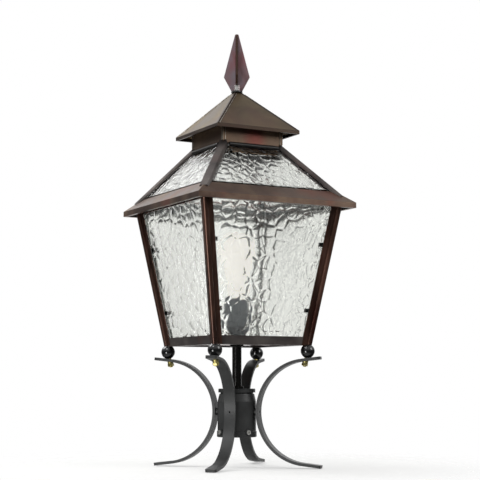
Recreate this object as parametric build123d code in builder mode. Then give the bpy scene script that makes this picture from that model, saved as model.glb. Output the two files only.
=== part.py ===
from build123d import *
import math
import os

# Post top lantern: a square tapered glass body on four bowed arms round a post fitter,
# under a glazed hipped roof with a square chimney, a pyramid cap and a kite finial.
# Millimetres, +Z up. The origin is the centre of the fitter's mouth, on the post's axis.

# ---- layout ----
sides = 4
hexagon = 6
full_turn = 360
half_turn = full_turn / 2
quarter_turn = full_turn / sides
diagonal = math.sqrt(2)
fit_gap = 0.3
pin_gap = 0.05
cutter_over = 5.0

# ---- post fitter ----
post_radius = 38.1
post_clearance = 0.35
fitter_wall = 4.65
rim_height = 14.0
rim_reach = 1.4
rim_chamfer = 1.2
bore_depth = 78.0
cavity_radius = 33.0
cavity_height = 18.0
shoulder_start = 79.0
shoulder_height = 16.8
shoulder_step = 3.9
neck_depth = 2.2
neck_height = 3.0
plate_thickness = 8.6
plate_reach = 2.4
lead_in = 1.0

# ---- set screws ----
screw_count = 4
screw_first_angle = 6.0
screw_height = 11.0
screw_radius = 5.0
screw_length = 9.2
screw_inset = 0.05
screw_point_radius = 3.4
screw_point_length = 1.4
screw_socket_flats = 5.0
screw_socket_depth = 4.0
boss_radius = 7.5
boss_reach = 2.5

# ---- conduit and lock nuts ----
conduit_radius = 10.65
conduit_wall = 2.65
lock_nut_flats = 30.0
lock_nut_height = 5.4

# ---- bowed arms ----
arm_width = 25.4
arm_thickness = 6.35
arm_bow_radius = 115.0
arm_mid_height = 56.0
arm_tip_radius = 193.6
arm_end_angle = 6.6
arm_corner_radius = 4.0
arm_gap = 4.2
arm_screw_radius = 4.0
arm_screw_head_radius = 7.8
arm_screw_head_depth = 3.6
spacer_radius = 8.0

# ---- corner posts, balls and studs ----
post_lean = 0.230
ball_radius = 15.875
ball_axis_radius = 164.0
ball_seat = 0.5
rod_radius = 6.35
angle_leg = 19.05
angle_thickness = 3.2
stud_radius = 4.0
stud_hole_radius = 4.4
stud_grip = 24.0
stud_end = 2.0
brass_nut_flats = 12.7
brass_nut_height = 6.5
bevel_washer_radius = 6.3
bevel_washer_land = 1.6

# ---- glazed body ----
body_seat = 12.4
body_height = 325.3
floor_plate_thickness = 2.0
drain_radius = 4.0
drain_offset = 70.0
glass_thickness = 4.0
pane_gap = 0.4
crossbar_width = 25.4
crossbar_thickness = 3.2
tie_rod_radius = 4.0
tie_rod_stand = 16.0
tie_rod_end = 3.0
tie_nut_flats = 13.0
tie_nut_height = 6.5

# ---- eave ----
eave_overhang = 24.8
eave_drop = 22.0
fascia_height = 12.0
fascia_return = 8.0
apron_inset = 7.9
apron_rise = 16.0
ledge_width = 8.0
flange_width = 11.0
sheet = 1.5
tab_width = 30.0
tab_offset = 80.0
tab_drop = 9.0
tab_clearance = 0.6

# ---- hipped roof ----
chimney_half = 75.8
roof_rise = 106.0
roof_glass_setback = 2.84
bar_half_width = 10.5
bar_flat_half = 8.0
bar_rise = 3.2
bar_flank = 5.6
bar_web_half = 1.8
bar_flange = 2.0
bar_end_radius = 7.5
bar_end_lap = 6.0
pane_bar_gap = 0.35

# ---- chimney ----
chimney_rise = 52.0
chimney_hang = 16.0
seam_width = 5.0
seam_thickness = 0.8
flashing_reach = 6.0
flashing_half_length = 58.0
shelf_reach = 12.0

# ---- cap ----
cap_half = 104.7
cap_drop = 15.4
cap_skirt = 7.2
cap_hem = 4.0
cap_rise = 97.4
cap_top_half = 8.0
cap_seam_width = 5.5
cap_seam_thickness = 0.8
cap_hole_radius = 4.4
strap_width = 14.0
strap_thickness = 2.0
strap_height = 26.0
strap_foot = 16.0

# ---- finial ----
washer_radius = 13.2
washer_thickness = 3.2
finial_seat_gap = 0.2
finial_nut_flats = 13.0
finial_nut_height = 13.2
finial_length = 133.6
finial_wide_rise = 32.6
finial_wide_half = 29.8
finial_foot_half = 12.5
finial_tip_half = 3.9
vane_thickness = 3.2
finial_heading = -28.4

# ---- lampholder and lamp ----
holder_radius = 28.5
holder_hub_radius = 17.0
holder_hub_height = 10.0
holder_bell_height = 22.0
holder_height = 95.7
holder_wall = 6.0
holder_well_depth = 44.0
shell_wall = 0.6
shell_gap = 0.3
lamp_base_radius = 19.5
lamp_base_length = 30.0
lamp_thread_pitch = 6.35
lamp_thread_turns = 4
lamp_thread_height = 1.1
lamp_contact_radius = 6.0
lamp_contact_height = 3.0
lamp_radius = 37.5
lamp_neck_radius = 18.5
lamp_length = 161.0
lamp_wall = 1.0
lamp_steps = 6

# ---- pane clips ----
clip_width = 9.0
clip_reach = 20.0
clip_thickness = 1.0
clip_low_rise = 72.3
clip_high_drop = 107.0

# ---- derived sizes ----
bore_radius = post_radius + post_clearance
fitter_radius = bore_radius + fitter_wall
fitter_top_radius = fitter_radius - shoulder_step
rim_radius = fitter_radius + rim_reach
shoulder_top = shoulder_start + shoulder_height
fitter_height = shoulder_top + neck_height + plate_thickness
cavity_top = bore_depth + cavity_height

arm_mid_radius = fitter_radius + arm_gap + arm_thickness / 2
arm_bow_centre = arm_mid_radius + arm_bow_radius
arm_sweep = math.radians(quarter_turn - arm_end_angle)
arm_end_slope = math.tan(math.radians(arm_end_angle))
arm_bow_end = arm_bow_centre - arm_bow_radius * math.cos(arm_sweep)
arm_bow_end_height = arm_mid_height + arm_bow_radius * math.sin(arm_sweep)
arm_straight = (arm_tip_radius - arm_bow_end) / math.cos(math.radians(arm_end_angle))

# The ball's centre stands on the arm's upper face, sunk by its shallow seat.
ball_lift = (ball_radius - ball_seat + arm_thickness / 2) / math.cos(math.radians(arm_end_angle))
ball_height = arm_bow_end_height + (ball_axis_radius - arm_bow_end) * arm_end_slope + ball_lift
lean_angle = math.atan(post_lean)
stud_skew = lean_angle + math.radians(arm_end_angle)
arm_under_distance = (ball_radius - ball_seat + arm_thickness) / math.cos(stud_skew)
bevel_drop = bevel_washer_radius * math.tan(stud_skew)
nut_seat_distance = arm_under_distance + bevel_drop + bevel_washer_land
stud_end_distance = nut_seat_distance + brass_nut_height + stud_end

face_lean = post_lean / diagonal
body_floor_height = ball_height + body_seat
body_top_height = body_floor_height + body_height
body_top_half = (ball_axis_radius + post_lean * (body_top_height - ball_height)) / diagonal
body_floor_top = body_floor_height + angle_thickness
body_frame_low = body_top_height - angle_leg
body_frame_under = body_top_height - angle_thickness
glass_low = body_floor_top + pane_gap
glass_high = body_frame_under - pane_gap

eave_half = body_top_half + eave_overhang
cutter_half = eave_half + cutter_over * 4
eave_bottom = body_top_height - eave_drop
apron_half = body_top_half - apron_inset
apron_top = body_top_height + apron_rise
roof_top = apron_top + roof_rise
roof_run = apron_half - chimney_half
roof_angle = math.atan2(roof_rise, roof_run)
roof_sin = math.sin(roof_angle)
roof_cos = math.cos(roof_angle)
roof_slope = math.tan(roof_angle)
apron_slope = (apron_top - eave_bottom - fascia_height) / (eave_half - apron_half)
came_fall = math.tan(math.asin(roof_sin / diagonal))
came_cos = math.cos(math.atan(came_fall))
came_sin = math.sin(math.atan(came_fall))
chimney_outer = chimney_half + seam_thickness
chimney_foot = roof_top - chimney_hang
chimney_top = roof_top + chimney_rise

cap_eave = chimney_top - cap_drop
cap_top = cap_eave + cap_rise
cap_slope = cap_rise / (cap_half - cap_top_half)
cap_bottom = cap_eave - cap_skirt
washer_bottom = cap_top + finial_seat_gap
finial_bottom = washer_bottom + washer_thickness + finial_seat_gap
finial_nut_top = finial_bottom + finial_nut_height
finial_wide_height = finial_bottom + finial_wide_rise
finial_tip = finial_bottom + finial_length
tie_rod_top = cap_top + tie_rod_stand

conduit_low = cavity_top + fit_gap
floor_plate_top = body_floor_top + floor_plate_thickness
holder_bottom = floor_plate_top + lock_nut_height
holder_top = holder_bottom + holder_height
lamp_base_low = holder_top - holder_well_depth + shell_wall + lamp_contact_height + fit_gap * 2


def face_at(height):
    """Half of the body's width across the outer faces of the corner angles."""
    return (ball_axis_radius + post_lean * (height - ball_height)) / diagonal


def apron_at(half):
    """Height of the apron's outer face at a distance from the axis."""
    return apron_top - (half - apron_half) * apron_slope


def roof_at(half):
    """Height of the roof glass's outer face at a distance from the axis."""
    return apron_top + (apron_half - half) * roof_slope


def corner_plane():
    """Upright plane through the axis and the first corner: X runs outward, Y runs up."""
    return Plane(origin=(0, 0, 0), x_dir=(-1, -1, 0), z_dir=(-1, 1, 0))


def save(part, label):
    part.label = label
    export_step(part, f"parts/{label}.step")


def save_quarters(part, label):
    """Writes one piece for each side or corner, turned about the post's axis."""
    for number in range(sides):
        with BuildPart() as turned:
            add(part, rotation=(0, 0, quarter_turn * number))
        save(turned.part, f"{label}_{number + 1}")


os.makedirs("parts", exist_ok=True)

# ======================= post fitter =======================
# A cast sleeve, open below, with a rolled rim, a ledge inside that stops the post,
# a tapered shoulder, a neck and a round top plate.
screw_angles = [screw_first_angle + number * full_turn / screw_count for number in range(screw_count)]
screw_planes = [
    Plane(
        origin=(0, 0, screw_height),
        x_dir=(math.cos(math.radians(angle)), math.sin(math.radians(angle)), 0),
        z_dir=(math.sin(math.radians(angle)), -math.cos(math.radians(angle)), 0),
    )
    for angle in screw_angles
]
arm_screw_length = fitter_wall + arm_gap + arm_thickness - fit_gap
arm_outer_face = arm_mid_radius + arm_thickness / 2
arm_screw_plane = Plane(
    origin=(-arm_outer_face / diagonal, -arm_outer_face / diagonal, arm_mid_height),
    z_dir=(1, 1, 0),
)

with BuildPart() as post_fitter:
    with BuildSketch(Plane.XZ):
        with BuildLine():
            Polyline(
                (bore_radius, 0),
                (rim_radius - rim_chamfer, 0),
                (rim_radius, rim_chamfer),
                (rim_radius, rim_height - rim_chamfer),
                (fitter_radius, rim_height),
                (fitter_radius, shoulder_start),
                (fitter_top_radius, shoulder_top),
                (fitter_top_radius - neck_depth, shoulder_top),
                (fitter_top_radius - neck_depth, shoulder_top + neck_height),
                (fitter_top_radius + plate_reach, shoulder_top + neck_height),
                (fitter_top_radius + plate_reach, fitter_height - lead_in),
                (fitter_top_radius + plate_reach - lead_in, fitter_height),
                (conduit_radius, fitter_height),
                (conduit_radius, cavity_top),
                (cavity_radius, cavity_top),
                (cavity_radius, bore_depth),
                (bore_radius, bore_depth),
                close=True,
            )
        make_face()
    revolve(axis=Axis.Z)
    for plane in screw_planes:
        with BuildSketch(plane.offset(bore_radius + lead_in)):
            Circle(boss_radius)
        extrude(amount=fitter_wall + boss_reach - lead_in)
        with BuildSketch(plane.offset(bore_radius - cutter_over)):
            Circle(screw_radius + pin_gap)
        extrude(amount=fitter_wall + boss_reach + cutter_over * 2, mode=Mode.SUBTRACT)
    for number in range(sides):
        turned_plane = Plane(
            origin=arm_screw_plane.origin.rotate(Axis.Z, quarter_turn * number),
            z_dir=arm_screw_plane.z_dir.rotate(Axis.Z, quarter_turn * number),
        )
        with BuildSketch(turned_plane.offset(arm_thickness)):
            Circle(arm_screw_radius + pin_gap)
        extrude(amount=arm_gap + fitter_wall + cutter_over, mode=Mode.SUBTRACT)
save(post_fitter.part, "post_fitter")

# ---- set screws: hexagon socket, pointed inner end, flush with the bore at rest ----
for number, plane in enumerate(screw_planes):
    with BuildPart() as set_screw:
        with BuildSketch(plane.offset(bore_radius + screw_inset)):
            Circle(screw_point_radius)
        with BuildSketch(plane.offset(bore_radius + screw_inset + screw_point_length)):
            Circle(screw_radius)
        loft()
        with BuildSketch(plane.offset(bore_radius + screw_inset + screw_point_length)):
            Circle(screw_radius)
        extrude(amount=screw_length - screw_point_length)
        with BuildSketch(plane.offset(bore_radius + screw_inset + screw_length)):
            RegularPolygon(screw_socket_flats / 2, hexagon, major_radius=False)
        extrude(amount=-screw_socket_depth, mode=Mode.SUBTRACT)
    save(set_screw.part, f"set_screw_{number + 1}")

# ======================= conduit =======================
with BuildPart() as conduit:
    with BuildSketch(Plane.XY.offset(conduit_low)):
        Circle(conduit_radius - pin_gap)
        Circle(conduit_radius - conduit_wall, mode=Mode.SUBTRACT)
    extrude(amount=holder_bottom + holder_hub_height - conduit_low)
save(conduit.part, "conduit")

with BuildPart() as lock_nuts:
    for level in (fitter_height, body_floor_height + angle_thickness - lock_nut_height, floor_plate_top):
        with BuildSketch(Plane.XY.offset(level)):
            RegularPolygon(lock_nut_flats / 2, hexagon, major_radius=False)
            Circle(conduit_radius, mode=Mode.SUBTRACT)
        extrude(amount=lock_nut_height)
save(lock_nuts.part, "conduit_lock_nuts")

# ======================= bowed arms =======================
# One flat bar, bent to a bow: both ends run straight, and the upper one carries the ball.
convex = arm_bow_radius + arm_thickness / 2
concave = arm_bow_radius - arm_thickness / 2


def bow_point(radius, turn, run=0.0):
    """Point on the bow at a turn from its middle, then along the tangent by a run."""
    rise = 1 if turn > 0 else -1
    along = (math.sin(abs(turn)), rise * math.cos(turn))
    return (
        arm_bow_centre - radius * math.cos(turn) + along[0] * run,
        arm_mid_height + radius * math.sin(turn) + along[1] * run,
    )


# The stud's line leans outward with the corner post and goes through the ball's centre.
ball_centre = Vector(-ball_axis_radius / diagonal, -ball_axis_radius / diagonal, ball_height)
stud_direction = Vector(-face_lean, -face_lean, 1).normalized()
stud_plane = Plane(origin=ball_centre, x_dir=(-1, 1, 0), z_dir=stud_direction)

with BuildPart() as bracket_arm:
    with BuildSketch(corner_plane()):
        with BuildLine():
            ThreePointArc(
                bow_point(convex, -arm_sweep), bow_point(convex, 0), bow_point(convex, arm_sweep)
            )
            Line(bow_point(convex, arm_sweep), bow_point(convex, arm_sweep, arm_straight))
            Line(
                bow_point(convex, arm_sweep, arm_straight),
                bow_point(concave, arm_sweep, arm_straight),
            )
            Line(bow_point(concave, arm_sweep, arm_straight), bow_point(concave, arm_sweep))
            ThreePointArc(
                bow_point(concave, arm_sweep), bow_point(concave, 0), bow_point(concave, -arm_sweep)
            )
            Line(bow_point(concave, -arm_sweep), bow_point(concave, -arm_sweep, arm_straight))
            Line(
                bow_point(concave, -arm_sweep, arm_straight),
                bow_point(convex, -arm_sweep, arm_straight),
            )
            Line(bow_point(convex, -arm_sweep, arm_straight), bow_point(convex, -arm_sweep))
        make_face()
    extrude(amount=arm_width / 2, both=True)
    end_edges = bracket_arm.edges().filter_by(
        lambda edge: abs(edge.length - arm_thickness) < fit_gap
    )
    fillet(end_edges, radius=arm_corner_radius)
    with Locations(ball_centre):
        Sphere(ball_radius + pin_gap, mode=Mode.SUBTRACT)
    with BuildSketch(stud_plane):
        Circle(stud_hole_radius)
    extrude(amount=-nut_seat_distance - cutter_over, mode=Mode.SUBTRACT)
    with BuildSketch(arm_screw_plane.offset(-cutter_over)):
        Circle(arm_screw_radius + pin_gap)
    extrude(amount=arm_thickness + cutter_over * 2, mode=Mode.SUBTRACT)
    with BuildSketch(arm_screw_plane):
        Circle(arm_screw_head_radius + pin_gap)
    with BuildSketch(arm_screw_plane.offset(arm_screw_head_depth)):
        Circle(arm_screw_radius + pin_gap)
    loft(mode=Mode.SUBTRACT)
save_quarters(bracket_arm.part, "bracket_arm")

# ---- spacer between arm and fitter, its inner end cut to the fitter's round ----
with BuildPart() as arm_spacer:
    with BuildSketch(arm_screw_plane.offset(arm_thickness)):
        Circle(spacer_radius)
        Circle(arm_screw_radius + pin_gap, mode=Mode.SUBTRACT)
    extrude(amount=arm_gap + fitter_wall / 2)
    with Locations((0, 0, arm_mid_height)):
        Cylinder(fitter_radius, (spacer_radius + cutter_over) * 2, mode=Mode.SUBTRACT)
with BuildPart() as arm_spacers:
    with PolarLocations(0, sides):
        add(arm_spacer.part)
save(arm_spacers.part, "arm_spacers")

with BuildPart() as arm_screw:
    with BuildSketch(arm_screw_plane):
        Circle(arm_screw_head_radius)
    with BuildSketch(arm_screw_plane.offset(arm_screw_head_depth)):
        Circle(arm_screw_radius)
    loft()
    with BuildSketch(arm_screw_plane.offset(arm_screw_head_depth)):
        Circle(arm_screw_radius)
    extrude(amount=arm_screw_length - arm_screw_head_depth)
    with BuildSketch(arm_screw_plane):
        RegularPolygon(screw_socket_flats / 2, hexagon, major_radius=False)
    extrude(amount=arm_screw_head_depth, mode=Mode.SUBTRACT)
with BuildPart() as arm_screws:
    with PolarLocations(0, sides):
        add(arm_screw.part)
save(arm_screws.part, "arm_screws")

# ======================= balls, studs, bevel washers and brass nuts =======================
with BuildPart() as foot_ball:
    with Locations(ball_centre):
        Sphere(ball_radius)
    with BuildSketch(stud_plane.offset(-ball_radius - cutter_over)):
        Circle(stud_radius + pin_gap)
    extrude(amount=(ball_radius + cutter_over) * 2, mode=Mode.SUBTRACT)
with BuildPart() as foot_balls:
    with PolarLocations(0, sides):
        add(foot_ball.part)
save(foot_balls.part, "foot_balls")

with BuildPart() as corner_stud:
    with BuildSketch(stud_plane.offset(-stud_end_distance)):
        Circle(stud_radius)
    extrude(amount=stud_end_distance + ball_radius + stud_grip)
    chamfer(corner_stud.edges().sort_by(Axis.Z)[0], length=lead_in)
with BuildPart() as corner_studs:
    with PolarLocations(0, sides):
        add(corner_stud.part)
save(corner_studs.part, "corner_studs")

# The washer's upper face follows the arm's underside, its lower face is square to the stud.
arm_under_plane = Plane(
    origin=ball_centre - stud_direction * arm_under_distance,
    x_dir=(-1, 1, 0),
    z_dir=(arm_end_slope / diagonal, arm_end_slope / diagonal, 1),
)
with BuildPart() as bevel_washer:
    with BuildSketch(stud_plane.offset(-nut_seat_distance)):
        Circle(bevel_washer_radius)
        Circle(stud_radius + pin_gap, mode=Mode.SUBTRACT)
    extrude(amount=bevel_washer_land + bevel_drop * 2 + cutter_over)
    with BuildSketch(arm_under_plane):
        Rectangle(arm_width * 2, arm_width * 2)
    extrude(amount=arm_width, mode=Mode.SUBTRACT)
with BuildPart() as bevel_washers:
    with PolarLocations(0, sides):
        add(bevel_washer.part)
save(bevel_washers.part, "bevel_washers")

with BuildPart() as brass_nut:
    with BuildSketch(stud_plane.offset(-nut_seat_distance)):
        RegularPolygon(brass_nut_flats / 2, hexagon, major_radius=False)
        Circle(stud_radius + pin_gap, mode=Mode.SUBTRACT)
    extrude(amount=-brass_nut_height)
with BuildPart() as brass_nuts:
    with PolarLocations(0, sides):
        add(brass_nut.part)
save(brass_nuts.part, "brass_nuts")

# ======================= corner posts =======================
# An angle with its legs along two faces, and a round rod brazed on its outer corner.
rod_length = (body_top_height - ball_height) / stud_direction.Z
with BuildPart() as corner_post:
    with BuildSketch(Plane.XY.offset(body_floor_height)):
        with BuildLine():
            low_face = face_at(body_floor_height)
            Polyline(
                (-low_face, -low_face),
                (-low_face + angle_leg, -low_face),
                (-low_face + angle_leg, -low_face + angle_thickness),
                (-low_face + angle_thickness, -low_face + angle_thickness),
                (-low_face + angle_thickness, -low_face + angle_leg),
                (-low_face, -low_face + angle_leg),
                close=True,
            )
        make_face()
    extrude(
        amount=(body_top_height - body_floor_height) / stud_direction.Z,
        dir=stud_direction,
    )
    with BuildSketch(stud_plane.offset(ball_radius / 2)):
        Circle(rod_radius)
    extrude(amount=rod_length)
    with BuildSketch(Plane.XY.offset(body_top_height)):
        Rectangle(eave_half * 2, eave_half * 2)
    extrude(amount=ball_radius * 2, mode=Mode.SUBTRACT)
    with Locations(ball_centre):
        Sphere(ball_radius + pin_gap, mode=Mode.SUBTRACT)
    with BuildSketch(stud_plane):
        Circle(stud_radius + pin_gap)
    extrude(amount=ball_radius + stud_grip + pin_gap, mode=Mode.SUBTRACT)
save_quarters(corner_post.part, "corner_post")


def mitre_prism(low, high):
    """Wedge between the two diagonals on the front side, to cut mitred ends."""
    with BuildPart(mode=Mode.PRIVATE) as prism:
        with BuildSketch(Plane.XY.offset(low - cutter_over)):
            with BuildLine():
                Polyline(
                    (0, 0),
                    (-eave_half * 2, -eave_half * 2),
                    (eave_half * 2, -eave_half * 2),
                    close=True,
                )
            make_face()
        extrude(amount=high - low + cutter_over * 2)
    return prism.part


# Room at each corner for the ball and for the rod with its stud.
with BuildPart() as corner_clear:
    with Locations(ball_centre):
        Sphere(ball_radius + pin_gap)
    with BuildSketch(stud_plane):
        Circle(rod_radius)
    extrude(amount=ball_radius + stud_grip + angle_leg)

# ---- bottom rails: angle iron, upright leg in line with the corner angles ----
with BuildPart() as bottom_rail:
    rail_top = body_floor_height + angle_leg
    with BuildSketch(Plane.YZ):
        with BuildLine():
            Polyline(
                (-face_at(body_floor_height), body_floor_height),
                (-face_at(rail_top), rail_top),
                (-face_at(rail_top) + angle_thickness, rail_top),
                (-face_at(body_floor_top) + angle_thickness, body_floor_top),
                (-face_at(body_floor_top) + angle_leg, body_floor_top),
                (-face_at(body_floor_height) + angle_leg, body_floor_height),
                close=True,
            )
        make_face()
    extrude(amount=face_at(rail_top), both=True)
    add(mitre_prism(body_floor_height, rail_top), mode=Mode.INTERSECT)
    for turn in (0, quarter_turn):
        add(corner_post.part, rotation=(0, 0, turn), mode=Mode.SUBTRACT)
        add(corner_clear.part, rotation=(0, 0, turn), mode=Mode.SUBTRACT)
save_quarters(bottom_rail.part, "bottom_rail")

# ---- top rails: the same angle, its flat leg on top, where the roof sits ----
with BuildPart() as top_rail:
    with BuildSketch(Plane.YZ):
        with BuildLine():
            Polyline(
                (-face_at(body_frame_low), body_frame_low),
                (-face_at(body_top_height), body_top_height),
                (-face_at(body_top_height) + angle_leg, body_top_height),
                (-face_at(body_top_height) + angle_leg, body_frame_under),
                (-face_at(body_frame_under) + angle_thickness, body_frame_under),
                (-face_at(body_frame_low) + angle_thickness, body_frame_low),
                close=True,
            )
        make_face()
    extrude(amount=face_at(body_top_height), both=True)
    add(mitre_prism(body_frame_low, body_top_height), mode=Mode.INTERSECT)
    for turn in (0, quarter_turn):
        add(corner_post.part, rotation=(0, 0, turn), mode=Mode.SUBTRACT)
save_quarters(top_rail.part, "top_rail")

# ---- floor plate, drilled for the conduit and for drainage ----
floor_half = face_at(body_floor_top) - angle_thickness - pane_gap * 2 - glass_thickness
with BuildPart() as floor_plate:
    with BuildSketch(Plane.XY.offset(body_floor_top)):
        Rectangle(floor_half * 2, floor_half * 2)
        Circle(conduit_radius, mode=Mode.SUBTRACT)
        with GridLocations(drain_offset * 2, drain_offset * 2, 2, 2):
            Circle(drain_radius, mode=Mode.SUBTRACT)
    extrude(amount=floor_plate_thickness)
save(floor_plate.part, "floor_plate")

# ---- body glass: a leaning pane, its upper and lower edges level ----
pane_low_face = face_at(glass_low) - angle_thickness - pane_gap
pane_high_face = face_at(glass_high) - angle_thickness - pane_gap
pane_low_half = pane_low_face - glass_thickness - clip_thickness
pane_high_half = pane_high_face - glass_thickness - clip_thickness
pane_rise = (glass_high - glass_low) * math.sqrt(1 + face_lean**2)
body_pane_plane = Plane(
    origin=(0, -pane_low_face, glass_low),
    x_dir=(1, 0, 0),
    z_dir=(0, -1, -face_lean),
)
with BuildPart() as body_glass:
    with BuildSketch(body_pane_plane):
        with BuildLine():
            Polyline(
                (-pane_low_half, 0),
                (pane_low_half, 0),
                (pane_high_half, pane_rise),
                (-pane_high_half, pane_rise),
                close=True,
            )
        make_face()
    extrude(amount=glass_thickness, dir=(0, 1, 0))
save_quarters(body_glass.part, "body_glass")

# ======================= tie rod and crossbar =======================
# The bar spans the top rails, and the rod stands on it up to the finial.
crossbar_half = face_at(body_top_height) - angle_leg
with BuildPart() as crossbar:
    with BuildSketch(Plane.XY.offset(body_top_height - crossbar_thickness)):
        Rectangle(crossbar_half * 2, crossbar_width)
        Circle(tie_rod_radius + pin_gap, mode=Mode.SUBTRACT)
    extrude(amount=crossbar_thickness)
save(crossbar.part, "crossbar")

tie_rod_low = body_top_height - crossbar_thickness - tie_nut_height - tie_rod_end
with BuildPart() as tie_rod:
    with BuildSketch(Plane.XY.offset(tie_rod_low)):
        Circle(tie_rod_radius)
    extrude(amount=tie_rod_top - tie_rod_low)
    chamfer(tie_rod.edges().sort_by(Axis.Z)[-1], length=lead_in)
save(tie_rod.part, "tie_rod")

with BuildPart() as tie_nuts:
    for level in (body_top_height - crossbar_thickness - tie_nut_height, body_top_height):
        with BuildSketch(Plane.XY.offset(level)):
            RegularPolygon(tie_nut_flats / 2, hexagon, major_radius=False)
            Circle(tie_rod_radius + pin_gap, mode=Mode.SUBTRACT)
        extrude(amount=tie_nut_height)
save(tie_nuts.part, "tie_nuts")

# ======================= eave panels =======================
# One folded sheet a side, mitred at the hips: hem, fascia, apron, glass ledge, leg and flange.
ledge_half = apron_half - ledge_width
eave_line = [
    (-(eave_half - fascia_return), eave_bottom),
    (-eave_half, eave_bottom),
    (-eave_half, eave_bottom + fascia_height),
    (-apron_half, apron_top),
    (-ledge_half, apron_top),
    (-ledge_half, body_top_height + fit_gap),
    (-(ledge_half + flange_width), body_top_height + fit_gap),
]
tab_face = face_at(body_top_height) - angle_leg - tab_clearance
with BuildPart() as eave_panel:
    with BuildSketch(Plane.YZ):
        with BuildLine():
            Polyline(*eave_line)
            offset(amount=sheet, side=Side.RIGHT, kind=Kind.INTERSECTION)
        make_face()
    extrude(amount=cutter_half, both=True)
    with BuildSketch(Plane.XY.offset(body_top_height + fit_gap)):
        with Locations((-tab_offset, -ledge_half), (tab_offset, -ledge_half)):
            Rectangle(tab_width, ledge_half - tab_face + sheet, align=(Align.CENTER, Align.MIN))
    extrude(amount=sheet)
    with BuildSketch(Plane.XY.offset(body_top_height + fit_gap)):
        with Locations((-tab_offset, -tab_face), (tab_offset, -tab_face)):
            Rectangle(tab_width, sheet, align=(Align.CENTER, Align.MIN))
    extrude(amount=-tab_drop)
    add(mitre_prism(eave_bottom, apron_top), mode=Mode.INTERSECT)
save_quarters(eave_panel.part, "eave_panel")

# ======================= hip bars =======================
# A glazing bar with a cap outside, a web between the panes and a flange beneath them.
hip_foot = Vector(-apron_half, -apron_half, apron_top)
hip_head = Vector(-chimney_half, -chimney_half, roof_top)
hip_direction = (hip_head - hip_foot).normalized()
hip_length = (hip_head - hip_foot).length
hip_cos = roof_run * diagonal / hip_length
hip_run_out = bar_rise / hip_cos**2 * diagonal / (roof_slope - apron_slope)
hip_plane = Plane(origin=hip_foot, x_dir=(-1, 1, 0), z_dir=hip_direction)
pane_under = (glass_thickness + pane_bar_gap) / came_cos
cap_under = pane_bar_gap / came_cos


def mirrored(points):
    """Closed outline from the points of its right half, from the top down."""
    return points + [(-x, y) for x, y in reversed(points)]


cap_outline = mirrored([
    (bar_flat_half, bar_rise),
    (bar_half_width, bar_rise - bar_flank),
    (bar_half_width, cap_under - came_fall * bar_half_width),
    (bar_web_half, cap_under - came_fall * bar_web_half),
])
core_outline = mirrored([
    (bar_web_half, cap_under - came_fall * bar_web_half + bar_rise / 2),
    (bar_web_half, -pane_under - came_fall * bar_web_half),
    (bar_half_width, -pane_under - came_fall * bar_half_width),
    (bar_half_width, -pane_under - came_fall * bar_half_width - bar_flange),
    (bar_flange / came_fall, -pane_under - bar_flange * 2),
])
with BuildPart() as hip_bar:
    with BuildSketch(hip_plane):
        with BuildLine():
            Polyline(*core_outline, close=True)
        make_face()
    extrude(amount=hip_length + bar_end_lap)
    with BuildSketch(Plane.XY.offset(apron_top + pane_gap)):
        Rectangle(eave_half * 2, eave_half * 2)
    extrude(amount=-roof_rise, mode=Mode.SUBTRACT)
    with BuildSketch(hip_plane.offset(-hip_run_out)):
        with BuildLine():
            Polyline(*cap_outline, close=True)
        make_face()
    extrude(amount=hip_length + bar_end_lap + hip_run_out)
    # the foot of the cap is cut to the mitred aprons that it laps over
    with BuildSketch(Plane.XY.offset(apron_at(cutter_half))):
        Rectangle(cutter_half * 2, cutter_half * 2)
    with BuildSketch(Plane.XY.offset(apron_top)):
        Rectangle(apron_half * 2, apron_half * 2)
    loft(ruled=True, mode=Mode.SUBTRACT)
    # the head is rounded in plan and notched over the chimney's corner
    bar_reach = hip_length + bar_end_lap
    foot_reach = hip_run_out + bar_end_radius
    with BuildSketch(Plane(origin=hip_foot, x_dir=(-1, 1, 0), z_dir=hip_plane.y_dir)):
        with Locations((0, (foot_reach - bar_reach) / 2)):
            RectangleRounded(bar_half_width * 2, bar_reach + foot_reach, bar_end_radius)
    extrude(amount=bar_half_width * 2, both=True, mode=Mode.INTERSECT)
    with BuildSketch(Plane.XY.offset(apron_top)):
        Rectangle(chimney_outer * 2, chimney_outer * 2)
    extrude(amount=roof_rise * 2, mode=Mode.SUBTRACT)
save_quarters(hip_bar.part, "hip_bar")

# ---- roof glass: each pane stands on the ledge and slots into the hip bars ----
roof_plane = Plane(origin=(0, -apron_half, apron_top), x_dir=(1, 0, 0), z_dir=(0, -roof_sin, roof_cos))
pane_edge = (bar_web_half + pane_bar_gap + glass_thickness * came_sin) / came_cos
pane_edge_offset = pane_edge * math.sqrt(1 + roof_cos**2)
pane_foot = (roof_glass_setback + pane_gap) / roof_sin
pane_head = (roof_run - pane_gap - glass_thickness * roof_sin) / roof_cos
with BuildPart() as roof_glass:
    with BuildSketch(roof_plane):
        foot_half = apron_half - pane_foot * roof_cos - pane_edge_offset
        head_half = apron_half - pane_head * roof_cos - pane_edge_offset
        with BuildLine():
            Polyline(
                (-foot_half, pane_foot),
                (foot_half, pane_foot),
                (head_half, pane_head),
                (-head_half, pane_head),
                close=True,
            )
        make_face()
    extrude(amount=-glass_thickness)
save_quarters(roof_glass.part, "roof_glass")

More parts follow.
